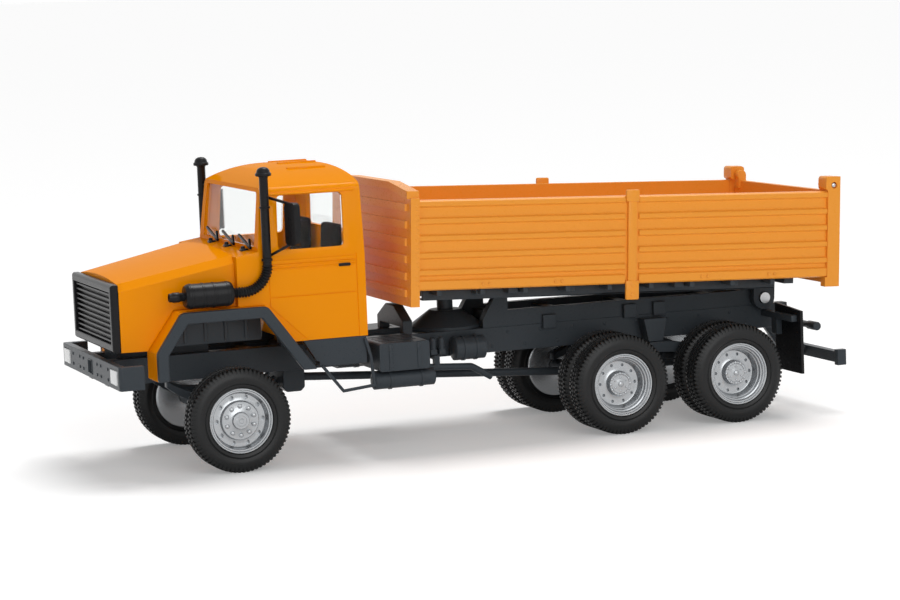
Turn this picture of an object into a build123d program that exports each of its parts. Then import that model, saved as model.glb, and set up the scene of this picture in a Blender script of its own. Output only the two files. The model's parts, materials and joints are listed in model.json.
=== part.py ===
from build123d import *
import math
import os

# Scale model of a bonneted three-axle tipper truck, 1:87.
# Millimetres. +X is the nose, +Y the driver's left, +Z up, wheels stand on Z = 0.

# Fits between pieces
SEAT_GAP = 0.03
RUNNING_GAP = 0.06

# Wheels and axles
TYRE_RADIUS = 6.2
TYRE_BORE = 3.92
TREAD_FACETS = 48
FRONT_AXLE_X = 33.0
MIDDLE_AXLE_X = -16.0
BOGIE_SPACING = 15.9
FRONT_TYRE_OUT = 13.6
FRONT_TYRE_WIDTH = 3.6
REAR_TYRE_OUT = 14.1
REAR_TYRE_WIDTH = 3.25
TWIN_GAP = 0.5
SHOULDER_INSET = 0.45
BULGE_RADIUS = 5.2
RIM_SETBACK = 0.15
RIM_LIP = 0.32
WEB_RADIUS = 3.3
FRONT_DISH = 0.95
FRONT_BARREL = 3.2
FRONT_SOCKET = 0.55
DISC_RADIUS = 2.3
DISC_DEPTH = 0.45
HUB_RADIUS = 0.95
HUB_PROUD = 0.1
REAR_DISH = 1.95
REAR_SOCKET = 1.35
DRUM_RADIUS = 1.5
DRUM_DEPTH = 0.9
VENT_COUNT = 10
VENT_SIDES = 8
VENT_RING = 2.8
VENT_DEPTH = 0.6
FRONT_VENT_RADIUS = 0.32
REAR_VENT_RADIUS = 0.2
AXLE_ROD_RADIUS = 0.56
HUB_GAP = 0.25
LAST_AXLE_X = MIDDLE_AXLE_X - BOGIE_SPACING
AXLE_Z = TYRE_RADIUS
RIM_RADIUS = TYRE_BORE - SEAT_GAP
ROD_HOLE = AXLE_ROD_RADIUS + SEAT_GAP
FRONT_LIP_Y = FRONT_TYRE_OUT - RIM_SETBACK
REAR_LIP_Y = REAR_TYRE_OUT - RIM_SETBACK
REAR_BARREL = 2 * REAR_TYRE_WIDTH + TWIN_GAP - 2 * RIM_SETBACK

# Ladder frame
RAIL_OUT = 4.7
RAIL_WEB = 0.8
RAIL_FLANGE = 1.6
FLANGE_THICK = 0.5
RAIL_DEPTH = 3.1
RAIL_TOP = 13.5
RAIL_REAR_X = -43.7
CROSSMEMBER_LENGTH = 1.4
COUPLING_REACH = 2.0
COUPLING_WIDTH = 2.4
COUPLING_THICK = 1.0
COUPLING_LAP = 0.1
COUPLING_BORE = 0.5
CROSSMEMBER_XS = (28.0, 14.0, -2.0, -14.0, -24.0, -42.6)
RAIL_BOTTOM = RAIL_TOP - RAIL_DEPTH
RAIL_IN = RAIL_OUT - RAIL_WEB
FLANGE_IN = RAIL_OUT - RAIL_FLANGE

# Bumper and lamps
BUMPER_FRONT_X = 47.5
BUMPER_DEPTH = 3.0
BUMPER_WALL = 0.9
BUMPER_HALF = 14.05
BUMPER_BOTTOM = 11.0
BUMPER_HEIGHT = 2.8
LAMP_WIDTH = 3.0
LAMP_HEIGHT = 1.8
LAMP_Y = 11.55
LAMP_POCKET = 0.55
LAMP_PROUD = 0.12
TOW_POCKET = 1.5
RAIL_FRONT_X = BUMPER_FRONT_X - BUMPER_WALL
BUMPER_MID_Z = BUMPER_BOTTOM + BUMPER_HEIGHT / 2

# Bonnet and grille
BONNET_FRONT_X = 46.0
BONNET_FRONT_HALF = 9.6
BONNET_REAR_HALF = 11.4
BONNET_FRONT_TOP = 22.9
BONNET_REAR_TOP = 25.5
BONNET_SHOULDER = 0.9
BONNET_CROWN = 0.5
BONNET_WALL = 0.8
GRILLE_DEPTH = 0.95
GRILLE_BORDER = 0.95
GRILLE_BACK = 0.25
SLAT_COUNT = 10
SLAT_THICK = 0.24
SLAT_REACH = 0.45

# Cab
CAB_REAR_X = 16.5
CAB_FRONT_X = 32.4
CAB_HALF = 12.4
CAB_WALL = 0.75
CAB_STAND = 1.4
BELT_HEIGHT = 10.0
EAVES_HEIGHT = 18.1
ROOF_HEIGHT = 20.5
ROOF_HALF = 11.5
COWL_HEIGHT = 10.5
SCREEN_FOOT_X = 29.7
SCREEN_RAKE = 0.8
PANE_RADIUS = 0.5
PANE_SETBACK = 0.2
PANE_THICK = 0.35
SEAM_WIDTH = 0.14
SEAM_DEPTH = 0.1
ROOF_RIB_YS = (-5.4, -1.8, 1.8, 5.4)
ROOF_RIB_LENGTH = 4.8
ROOF_RIB_WIDTH = 0.5
ROOF_RIB_RISE = 0.12
CAB_BOTTOM = RAIL_TOP + CAB_STAND
BELT_Z = CAB_BOTTOM + BELT_HEIGHT
EAVES_Z = CAB_BOTTOM + EAVES_HEIGHT
ROOF_Z = CAB_BOTTOM + ROOF_HEIGHT
COWL_Z = CAB_BOTTOM + COWL_HEIGHT
SCREEN_TOP_X = SCREEN_FOOT_X - SCREEN_RAKE
SCREEN_FOOT_Z = COWL_Z + 0.4

# Front wheel arch, outer line of the fender as steps from the axle
ARCH_FRONT = 9.8
ARCH_FRONT_SHOULDER = 6.7
ARCH_REAR_SHOULDER = 3.75
ARCH_REAR = 9.55
ARCH_KNEE_Z = 15.0
ARCH_TOP_Z = 19.5
ARCH_BOTTOM_Z = 11.6
ARCH_CORNER = 1.0
FENDER_THICK = 0.6
FENDER_IN = 9.0
FENDER_OUT = 13.1
FLARE_THICK = 1.35
FLARE_OUT = 13.95

# Air intakes on both sides
INTAKE_Y = 13.1
STACK_X = 28.85
STACK_RADIUS = 0.52
STACK_TOP_Z = 35.8
ELBOW_RADIUS = 3.0
ELBOW_RINGS = 10
HOSE_RINGS = 3
HOSE_SIDES = 10
RING_RISE = 0.14
CANISTER_Z = 21.3
CANISTER_RADIUS = 1.5
CANISTER_LENGTH = 5.9
CANISTER_GAP = 1.4
NUB_LENGTH = 1.8
NUB_RADIUS = 0.6

# Bed, drawn level from its rear lower edge and laid at its resting tilt
BED_REAR_X = -46.1
BED_STAND = 3.9
BED_REST_TILT = 2.5
BED_LENGTH = 57.7
BED_HALF = 14.35
WALL_HEIGHT = 10.85
WALL_THICK = 0.75
WALL_IN = 13.2
RIB_PITCH = 2.06
RIB_HEIGHT = 0.9
RIB_RISE = 0.32
RIB_FLANK = 60
RIB_COUNT = 5
FOOT_RAIL_HEIGHT = 1.3
FLOOR_THICK = 0.9
HEADBOARD_THICK = 1.15
HEADBOARD_TOP = 12.8
HEADBOARD_SHOULDER = 11.95
HEADBOARD_EDGE = 11.1
HEADBOARD_STEP = 0.35
HEADBOARD_DROP = 1.9
HEADBOARD_FLAT = 7.5
CAP_REACH = 0.4
CAP_DEPTH = 0.95
STAKE_U = 28.7
STAKE_WIDTH = 1.8
STAKE_DROP = 1.95
STAKE_TOP = 11.6
POST_LENGTH = 1.7
POST_DROP = 1.2
EAR_TOP = 12.7
EAR_LENGTH = 2.0
EAR_IN = 12.25
EAR_PIN_U = 0.85
EAR_PIN_V = 11.6
EAR_PIN_RADIUS = 0.35
BEAM_DEPTH = 1.6
BEAM_IN = 3.5
PIVOT_U = 6.2
PIVOT_DROP = 3.2
TIP_SHAFT_RADIUS = 0.7
LUG_IN = 4.95
LUG_THICK = 1.0
BED_TILT = math.radians(BED_REST_TILT)
BED_REAR_Z = RAIL_TOP + BED_STAND
BED = Plane(
    origin=(BED_REAR_X, 0, BED_REAR_Z),
    x_dir=(math.cos(BED_TILT), 0, math.sin(BED_TILT)),
    z_dir=(-math.sin(BED_TILT), 0, math.cos(BED_TILT)),
)
PIVOT = BED.from_local_coords(Vector(PIVOT_U, 0, -PIVOT_DROP))

# Tipper subframe
SUBFRAME_FRONT_X = -1.3
SUBFRAME_DEPTH = 2.0
SUBFRAME_WIDTH = 1.2
REST_POST_X = -3.9
REST_POST_LENGTH = 1.6
REST_GAP = 0.05
BEARING_LENGTH = 3.4
BEARING_RISE = 1.35
SUBFRAME_TIE_XS = (-3.9, -12.0, -22.0, -34.0)
RAM_X = 1.9
RAM_RADIUS = 1.0
RAM_HEIGHT = 4.5
DISH_RADIUS = 4.6
DISH_EDGE = 0.35
DISH_TOP_RADIUS = 2.0
DISH_HEIGHT = 2.25
CRADLE_X = 8.0
CRADLE_LENGTH = 1.3
CRADLE_HEIGHT = 3.4
CRADLE_SHOULDER = 1.7
CRADLE_FLAT = 1.5
CRADLE_LEG = 1.1
CRADLE_CLEAR = 0.9
SUBFRAME_TOP = RAIL_TOP + SUBFRAME_DEPTH
BEARING_TOP = PIVOT.Z + BEARING_RISE
BED_SLOPE = math.tan(BED_TILT)

# Side equipment
BOX_REAR_X = 8.9
BOX_LENGTH = 6.4
BOX_OUT = 12.9
BOX_TOP = 13.75
BOX_HEIGHT = 3.4
TANK_RADIUS = 1.05
TANK_LENGTH = 7.6
BAND_RISE = 0.1
BAND_LENGTH = 0.3
STEP_BAR = 0.36
REAR_BAR_X = -47.0
REAR_BAR_Z = 6.9


def side_plane(y):
    """Upright plane at y, drawn in x and z; extrusions run towards -Y."""
    return Plane.XZ.offset(-y)


def bed_side(y):
    """Upright plane of the bed at y, drawn along the bed and up from its floor."""
    return Plane(BED.from_local_coords(Vector(0, y, 0)), x_dir=BED.x_dir, z_dir=-BED.y_dir)


def bed_end(u):
    """Plane across the bed at u, drawn in y and up from the floor; extrusions run forwards."""
    return Plane(BED.from_local_coords(Vector(u, 0, 0)), x_dir=BED.y_dir, z_dir=BED.x_dir)


def axle_plane(axle_x):
    """Plane through an axle, drawn in y and radius."""
    return Plane(origin=(axle_x, 0, AXLE_Z), x_dir=(0, 1, 0), z_dir=(1, 0, 0))


def axle_line(axle_x):
    """Turning axis of a wheel set."""
    return Axis((axle_x, 0, AXLE_Z), (0, 1, 0))


def arch_points(inset):
    """Outer line of the front arch moved towards the wheel, closed below the arch."""
    foot_z = ARCH_BOTTOM_Z - 4
    slope = (ARCH_REAR - ARCH_REAR_SHOULDER) / (ARCH_TOP_Z - ARCH_BOTTOM_Z)
    rear_shift = inset * math.hypot(1, slope)
    front_slope = (ARCH_FRONT - ARCH_FRONT_SHOULDER) / (ARCH_TOP_Z - ARCH_KNEE_Z)
    front_shift = inset * math.hypot(1, front_slope)
    knee_z = ARCH_KNEE_Z + (inset - front_shift) / front_slope
    top_z = ARCH_TOP_Z - inset
    return (
        (FRONT_AXLE_X + ARCH_FRONT - inset, foot_z),
        (FRONT_AXLE_X + ARCH_FRONT - inset, knee_z),
        (FRONT_AXLE_X + ARCH_FRONT_SHOULDER - front_shift + inset * front_slope, top_z),
        (FRONT_AXLE_X - ARCH_REAR_SHOULDER + rear_shift - inset * slope, top_z),
        (FRONT_AXLE_X - ARCH_REAR - slope * (ARCH_BOTTOM_Z - foot_z) + rear_shift, foot_z),
    )


# Frame rails: two channels open to the inside
with BuildPart() as frame_rails:
    with BuildSketch(Plane.YZ.offset(RAIL_REAR_X)):
        with Locations((RAIL_OUT - RAIL_FLANGE / 2, RAIL_TOP - RAIL_DEPTH / 2)):
            Rectangle(RAIL_FLANGE, RAIL_DEPTH)
        with Locations((RAIL_IN - (RAIL_FLANGE - RAIL_WEB) / 2, RAIL_TOP - RAIL_DEPTH / 2)):
            Rectangle(RAIL_FLANGE - RAIL_WEB, RAIL_DEPTH - 2 * FLANGE_THICK, mode=Mode.SUBTRACT)
    extrude(amount=RAIL_FRONT_X - RAIL_REAR_X)
    mirror(about=Plane.XZ)

# Crossmembers seated between the webs, the last one with a bored tow coupling
with BuildPart() as crossmembers:
    with Locations(*[(x, 0, RAIL_TOP - RAIL_DEPTH / 2) for x in CROSSMEMBER_XS]):
        Box(CROSSMEMBER_LENGTH, 2 * RAIL_IN, RAIL_DEPTH - 2 * FLANGE_THICK)
    coupling_front_x = CROSSMEMBER_XS[-1] + CROSSMEMBER_LENGTH / 2
    coupling_length = CROSSMEMBER_LENGTH + COUPLING_REACH
    coupling_z = RAIL_BOTTOM + FLANGE_THICK + COUPLING_LAP - COUPLING_THICK / 2
    with Locations((coupling_front_x - coupling_length / 2, 0, coupling_z)):
        Box(coupling_length, COUPLING_WIDTH, COUPLING_THICK)
    with Locations((coupling_front_x - coupling_length + COUPLING_REACH / 2, 0, coupling_z)):
        Cylinder(COUPLING_BORE, COUPLING_THICK, mode=Mode.SUBTRACT)

# Front bumper: a deep channel with turned-back ends, lamp pockets and a tow pocket
with BuildPart() as front_bumper:
    with BuildSketch(Plane.XY.offset(BUMPER_BOTTOM)):
        with Locations((BUMPER_FRONT_X - BUMPER_DEPTH / 2, 0)):
            Rectangle(BUMPER_DEPTH, 2 * BUMPER_HALF)
        with Locations((BUMPER_FRONT_X - BUMPER_WALL - BUMPER_DEPTH / 2, 0)):
            Rectangle(BUMPER_DEPTH, 2 * (BUMPER_HALF - BUMPER_WALL), mode=Mode.SUBTRACT)
    extrude(amount=BUMPER_HEIGHT)
    fillet(front_bumper.edges().filter_by(Axis.Z).group_by(Axis.X)[-1], BUMPER_WALL / 2)
    with BuildSketch(Plane.YZ.offset(BUMPER_FRONT_X)):
        with Locations((LAMP_Y, BUMPER_MID_Z), (-LAMP_Y, BUMPER_MID_Z)):
            Rectangle(LAMP_WIDTH, LAMP_HEIGHT)
        with Locations((0, BUMPER_MID_Z)):
            Rectangle(TOW_POCKET, TOW_POCKET)
    extrude(amount=-LAMP_POCKET, mode=Mode.SUBTRACT)

# Headlamps set in the bumper pockets
with BuildPart() as headlamps:
    with BuildSketch(Plane.YZ.offset(BUMPER_FRONT_X - LAMP_POCKET)):
        with Locations((LAMP_Y, BUMPER_MID_Z), (-LAMP_Y, BUMPER_MID_Z)):
            Rectangle(LAMP_WIDTH - 2 * SEAT_GAP, LAMP_HEIGHT - 2 * SEAT_GAP)
    extrude(amount=LAMP_POCKET + LAMP_PROUD)


def bonnet_form(front_x, rear_x, inset, drop):
    """Tapered form of the bonnet between two stations, inset from the skin."""
    with BuildPart() as form:
        for x in (front_x, rear_x):
            share = (BONNET_FRONT_X - x) / (BONNET_FRONT_X - CAB_FRONT_X)
            half = BONNET_FRONT_HALF + share * (BONNET_REAR_HALF - BONNET_FRONT_HALF) - inset
            top = BONNET_FRONT_TOP + share * (BONNET_REAR_TOP - BONNET_FRONT_TOP) - inset
            with BuildSketch(Plane.YZ.offset(x)):
                with BuildLine():
                    Polyline(
                        (half - BONNET_SHOULDER, top),
                        (half, top - BONNET_SHOULDER),
                        (half, CAB_BOTTOM - drop),
                        (-half, CAB_BOTTOM - drop),
                        (-half, top - BONNET_SHOULDER),
                        (BONNET_SHOULDER - half, top),
                    )
                    ThreePointArc(
                        (BONNET_SHOULDER - half, top), (0, top + BONNET_CROWN), (half - BONNET_SHOULDER, top)
                    )
                make_face()
        loft()
    return form.part


BONNET_SKIN = bonnet_form(BONNET_FRONT_X, CAB_FRONT_X, 0, 0)
BONNET_VOID = bonnet_form(BONNET_FRONT_X - BONNET_WALL, CAB_FRONT_X, BONNET_WALL, 1)

# Bonnet: a tapered shell, open below and to the wheels
with BuildPart() as bonnet:
    add(BONNET_SKIN)
    add(BONNET_VOID, mode=Mode.SUBTRACT)
    with BuildSketch(side_plane(BUMPER_HALF)):
        Polygon(*arch_points(-SEAT_GAP), align=None)
    extrude(amount=2 * BUMPER_HALF, mode=Mode.SUBTRACT)

# Grille surround in front of the bonnet
with BuildPart() as grille_frame:
    with BuildSketch(Plane.YZ.offset(BONNET_FRONT_X)):
        with Locations((0, (BONNET_FRONT_TOP + CAB_BOTTOM) / 2)):
            Rectangle(2 * BONNET_FRONT_HALF, BONNET_FRONT_TOP - CAB_BOTTOM)
            Rectangle(
                2 * (BONNET_FRONT_HALF - GRILLE_BORDER),
                BONNET_FRONT_TOP - CAB_BOTTOM - 2 * GRILLE_BORDER,
                mode=Mode.SUBTRACT,
            )
    extrude(amount=GRILLE_DEPTH)
    chamfer(grille_frame.faces().sort_by(Axis.X)[-1].outer_wire().edges(), GRILLE_DEPTH / 4)

# Grille insert: a backing plate carrying level slats
with BuildPart() as grille_slats:
    with Locations((BONNET_FRONT_X + GRILLE_BACK / 2, 0, (BONNET_FRONT_TOP + CAB_BOTTOM) / 2)):
        Box(
            GRILLE_BACK,
            2 * (BONNET_FRONT_HALF - GRILLE_BORDER - SEAT_GAP),
            BONNET_FRONT_TOP - CAB_BOTTOM - 2 * (GRILLE_BORDER + SEAT_GAP),
        )
    slat_pitch = (BONNET_FRONT_TOP - CAB_BOTTOM - 2 * GRILLE_BORDER) / SLAT_COUNT
    slat_zs = [CAB_BOTTOM + GRILLE_BORDER + slat_pitch * (row + 0.5) for row in range(SLAT_COUNT)]
    with Locations(*[(BONNET_FRONT_X + GRILLE_BACK + SLAT_REACH / 2, 0, z) for z in slat_zs]):
        Box(SLAT_REACH, 2 * (BONNET_FRONT_HALF - GRILLE_BORDER - SEAT_GAP), SLAT_THICK)


def cab_form(inset):
    """Closed form of the cab between its side outline and its front outline, inset by a wall."""
    with BuildPart() as form:
        with BuildSketch(Plane.XZ):
            with BuildLine():
                Polyline(
                    (CAB_REAR_X, EAVES_Z + 0.4),
                    (CAB_REAR_X, CAB_BOTTOM),
                    (CAB_FRONT_X, CAB_BOTTOM),
                    (CAB_FRONT_X, COWL_Z),
                    (SCREEN_FOOT_X, SCREEN_FOOT_Z),
                    (SCREEN_TOP_X, EAVES_Z + 0.2),
                )
                ThreePointArc(
                    (SCREEN_TOP_X, EAVES_Z + 0.2),
                    (SCREEN_TOP_X - 2.6, ROOF_Z - 0.6),
                    (SCREEN_TOP_X - 6.6, ROOF_Z),
                )
                Line((SCREEN_TOP_X - 6.6, ROOF_Z), (CAB_REAR_X + 2.4, ROOF_Z - 0.1))
                ThreePointArc(
                    (CAB_REAR_X + 2.4, ROOF_Z - 0.1),
                    (CAB_REAR_X + 0.7, ROOF_Z - 0.75),
                    (CAB_REAR_X, EAVES_Z + 0.4),
                )
            make_face()
            Polygon(*arch_points(-SEAT_GAP), align=None, mode=Mode.SUBTRACT)
            if inset:
                offset(amount=-inset, kind=Kind.INTERSECTION, mode=Mode.REPLACE)
        extrude(amount=CAB_HALF, both=True)
        with BuildSketch(Plane.YZ.offset(CAB_REAR_X)) as front_outline:
            with BuildLine():
                Polyline(
                    (ROOF_HALF, EAVES_Z),
                    (CAB_HALF, BELT_Z),
                    (CAB_HALF, CAB_BOTTOM),
                    (-CAB_HALF, CAB_BOTTOM),
                    (-CAB_HALF, BELT_Z),
                    (-ROOF_HALF, EAVES_Z),
                )
                ThreePointArc((-ROOF_HALF, EAVES_Z), (0, ROOF_Z), (ROOF_HALF, EAVES_Z))
            make_face()
            fillet(front_outline.vertices().sort_by(Axis.Y)[-2:], CAB_WALL * 1.4)
            if inset:
                offset(amount=-inset, kind=Kind.INTERSECTION, mode=Mode.REPLACE)
        extrude(amount=CAB_FRONT_X - CAB_REAR_X, mode=Mode.INTERSECT)
    return form.part


SIDE_LEAN = math.atan2(CAB_HALF - ROOF_HALF, EAVES_Z - BELT_Z)
SCREEN_LEAN = math.atan2(SCREEN_RAKE, EAVES_Z + 0.2 - SCREEN_FOOT_Z)
SCREEN_HEIGHT = (EAVES_Z + 0.2 - SCREEN_FOOT_Z) / math.cos(SCREEN_LEAN)
SIDE_GLASS = Plane(
    origin=(0, CAB_HALF, BELT_Z), x_dir=(1, 0, 0), z_dir=(0, -math.cos(SIDE_LEAN), -math.sin(SIDE_LEAN))
)
SCREEN_GLASS = Plane(
    origin=(SCREEN_FOOT_X, 0, SCREEN_FOOT_Z),
    x_dir=(0, -1, 0),
    z_dir=(-math.cos(SCREEN_LEAN), 0, -math.sin(SCREEN_LEAN)),
)
REAR_GLASS = Plane(origin=(CAB_REAR_X, 0, BELT_Z), x_dir=(0, 1, 0), z_dir=(1, 0, 0))
WINDOW_SILL = 0.95
WINDOW_HEAD = 0.75
DOOR_REAR_X = CAB_REAR_X + 1.1
DOOR_FRONT_X = SCREEN_TOP_X - 0.4
SIDE_PANE = (
    (DOOR_REAR_X + 1.4, WINDOW_SILL),
    (DOOR_FRONT_X - 1.3, WINDOW_SILL),
    (DOOR_FRONT_X - 1.6, EAVES_Z - BELT_Z - WINDOW_HEAD),
    (DOOR_REAR_X + 1.2, EAVES_Z - BELT_Z - WINDOW_HEAD),
)
SCREEN_PANE = (
    (CAB_HALF - 1.7, 0.45),
    (ROOF_HALF - 1.1, SCREEN_HEIGHT - 0.5),
    (1.1 - ROOF_HALF, SCREEN_HEIGHT - 0.5),
    (1.7 - CAB_HALF, 0.45),
)
REAR_PANE = ((7.2, 2.3), (7.0, 6.9), (-7.0, 6.9), (-7.2, 2.3))


def panes(inset, front, depth):
    """Every cab pane, shrunk by inset, from its front depth behind the skin inwards."""
    with BuildPart() as glass:
        for plane, corners in ((SIDE_GLASS, SIDE_PANE), (SCREEN_GLASS, SCREEN_PANE), (REAR_GLASS, REAR_PANE)):
            with BuildSketch(plane.offset(front)) as pane:
                Polygon(*corners, align=None)
                fillet(pane.vertices(), PANE_RADIUS)
                if inset:
                    offset(amount=-inset, mode=Mode.REPLACE)
            extrude(amount=depth)
        mirror(about=Plane.XZ)
    return glass.part


def roof_height(y):
    """Height of the crowned roof at y."""
    rise = ROOF_Z - EAVES_Z
    crown_radius = (ROOF_HALF**2 + rise**2) / (2 * rise)
    return ROOF_Z - crown_radius + math.sqrt(crown_radius**2 - y**2)


CAB_SKIN = cab_form(0)
CAB_VOID = cab_form(CAB_WALL)
WINDOW_CUTS = panes(0, -1.0, 1.0 + 2 * CAB_WALL)

# Cab shell: hollow, with window openings, door seams, belt moulding and roof ribs
with BuildPart() as cab_shell:
    add(CAB_SKIN)
    add(CAB_VOID, mode=Mode.SUBTRACT)
    with Locations(*[(SCREEN_TOP_X - 7.8, y, roof_height(y)) for y in ROOF_RIB_YS]):
        Box(ROOF_RIB_LENGTH, ROOF_RIB_WIDTH, 2 * ROOF_RIB_RISE)
    for side in (1, -1):
        with Locations(((DOOR_REAR_X + DOOR_FRONT_X) / 2, side * CAB_HALF, BELT_Z - 0.45)):
            Box(DOOR_FRONT_X - DOOR_REAR_X - 0.4, 0.3, 0.35)
        with BuildSketch(side_plane(side * CAB_HALF)):
            with BuildLine():
                Polyline(
                    (DOOR_REAR_X, BELT_Z),
                    (DOOR_REAR_X, CAB_BOTTOM),
                    (DOOR_REAR_X + 6.4, CAB_BOTTOM),
                    (DOOR_FRONT_X, CAB_BOTTOM + 4.3),
                    (DOOR_FRONT_X, BELT_Z),
                )
                Line((DOOR_REAR_X, CAB_BOTTOM + 5.4), (DOOR_FRONT_X, CAB_BOTTOM + 5.4))
            trace(line_width=SEAM_WIDTH)
        extrude(amount=SEAM_DEPTH, both=True, mode=Mode.SUBTRACT)
    add(WINDOW_CUTS, mode=Mode.SUBTRACT)

# Glazing set in the window openings
GLAZING = panes(SEAT_GAP, PANE_SETBACK, PANE_THICK)
with BuildPart() as cab_glazing:
    add(GLAZING)

CAB_FLOOR_Z = CAB_BOTTOM + CAB_WALL
SEAT_YS = (6.0, -6.0)
SEAT_X = CAB_REAR_X + CAB_WALL + 0.5

# Seats: cushion and leaning backrest on a box base
with BuildPart() as seats:
    with BuildSketch(side_plane(2.6)):
        with BuildLine():
            Polyline(
                (SEAT_X + 0.6, CAB_FLOOR_Z),
                (SEAT_X + 5.2, CAB_FLOOR_Z),
                (SEAT_X + 5.6, CAB_FLOOR_Z + 5.6),
                (SEAT_X + 1.7, CAB_FLOOR_Z + 5.2),
                (SEAT_X + 1.2, CAB_FLOOR_Z + 12.4),
                (SEAT_X, CAB_FLOOR_Z + 12.4),
                close=True,
            )
        make_face()
    seat_blank = extrude(amount=5.2, mode=Mode.PRIVATE)
    with Locations(*[(0, y, 0) for y in SEAT_YS]):
        add(seat_blank)

# Dashboard across the bulkhead with a driver's binnacle
with BuildPart() as dashboard:
    with BuildSketch(side_plane(CAB_HALF - CAB_WALL - 0.4)):
        with BuildLine():
            Polyline(
                (CAB_FRONT_X - CAB_WALL, COWL_Z - 4.6),
                (CAB_FRONT_X - CAB_WALL, COWL_Z - CAB_WALL - 0.3),
                (SCREEN_FOOT_X - 0.6, COWL_Z - CAB_WALL - 0.1),
                (SCREEN_FOOT_X - 2.6, COWL_Z - 1.3),
                (SCREEN_FOOT_X - 2.2, COWL_Z - 4.0),
                close=True,
            )
        make_face()
    extrude(amount=2 * (CAB_HALF - CAB_WALL - 0.4))

# Steering wheel on its column, in front of the left seat
STEERING_SIDES = 16
STEERING_HUB = (SCREEN_FOOT_X - 3.9, SEAT_YS[0], COWL_Z - 0.9)
with BuildPart() as steering_wheel:
    with BuildSketch(Plane(origin=STEERING_HUB, x_dir=(0, 1, 0), z_dir=(-0.82, 0, 0.57))):
        RegularPolygon(1.9, STEERING_SIDES)
        RegularPolygon(1.6, STEERING_SIDES, mode=Mode.SUBTRACT)
        Rectangle(3.4, 0.4)
        RegularPolygon(0.5, STEERING_SIDES)
    extrude(amount=0.15, both=True)
    with BuildSketch(Plane(origin=STEERING_HUB, x_dir=(0, 1, 0), z_dir=(0.82, 0, -0.57))):
        Rectangle(0.5, 0.5)
    extrude(amount=1.5)

# Cab mounts between the rails and the cab floor
with BuildPart() as cab_mounts:
    with BuildSketch(Plane.XY.offset(RAIL_TOP)):
        with GridLocations(6.2, 2 * (RAIL_OUT - RAIL_FLANGE / 2), 2, 2):
            with Locations((CAB_REAR_X + 4.6, 0)):
                Rectangle(1.6, RAIL_FLANGE)
    extrude(amount=CAB_STAND)

# Fenders: bent bands from the bonnet side out to the flares
with BuildPart() as front_fenders:
    with BuildSketch(side_plane(FENDER_OUT)):
        Polygon(*arch_points(0), align=None)
        Polygon(*arch_points(FENDER_THICK), align=None, mode=Mode.SUBTRACT)
        with Locations((FRONT_AXLE_X, ARCH_BOTTOM_Z - 5)):
            Rectangle(40, 10, mode=Mode.SUBTRACT)
    extrude(amount=FENDER_OUT - FENDER_IN)
    mirror(about=Plane.XZ)

# Flares: thick rounded lips outside the fenders
with BuildPart() as arch_flares:
    with BuildSketch(side_plane(FLARE_OUT)) as flare_band:
        Polygon(*arch_points(0), align=None)
        fillet(flare_band.vertices().sort_by(Axis.Y)[-4:], ARCH_CORNER)
        with BuildSketch(side_plane(FLARE_OUT), mode=Mode.PRIVATE) as flare_hole:
            Polygon(*arch_points(FLARE_THICK), align=None)
        add(flare_hole.sketch_local, mode=Mode.SUBTRACT)
        with Locations((FRONT_AXLE_X, ARCH_BOTTOM_Z - 5)):
            Rectangle(40, 10, mode=Mode.SUBTRACT)
    extrude(amount=FLARE_OUT - FENDER_OUT)
    mirror(about=Plane.XZ)

# Sill panels below the doors, each with its step tread
SILL_DROP = 2.6
SILL_THICK = 0.8
TREAD_LENGTH = 6.0
TREAD_THICK = 0.7
TREAD_REACH = 0.9
with BuildPart() as sill_panels:
    with BuildSketch(side_plane(CAB_HALF)):
        with BuildLine():
            Polyline(
                (CAB_REAR_X + 0.2, CAB_BOTTOM),
                (CAB_REAR_X + 0.2, CAB_BOTTOM - SILL_DROP),
                (FRONT_AXLE_X - ARCH_REAR - 0.4, CAB_BOTTOM - SILL_DROP),
                (FRONT_AXLE_X - ARCH_REAR + 1.2, CAB_BOTTOM),
                close=True,
            )
        make_face()
    extrude(amount=SILL_THICK)
    with BuildSketch(side_plane(CAB_HALF)):
        with Locations((CAB_REAR_X + 0.2 + TREAD_LENGTH / 2, CAB_BOTTOM - SILL_DROP - TREAD_THICK / 2)):
            Rectangle(TREAD_LENGTH, TREAD_THICK)
    extrude(amount=SILL_THICK + TREAD_REACH)
    mirror(about=Plane.XZ)

# Step loops: bent bars hung on the sills, as steps from the cab's rear edge
STEP_POINTS = ((5.96, 11.72), (3.45, 8.5), (-0.5, 8.87), (-0.15, 12.4), (0.47, 14.6))
with BuildPart() as step_loops:
    with BuildSketch(side_plane(CAB_HALF + STEP_BAR + SEAT_GAP)):
        with BuildLine():
            Polyline(*[(CAB_REAR_X + step_x, step_z) for step_x, step_z in STEP_POINTS])
        trace(line_width=STEP_BAR)
    extrude(amount=STEP_BAR)
    mirror(about=Plane.XZ)

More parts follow.
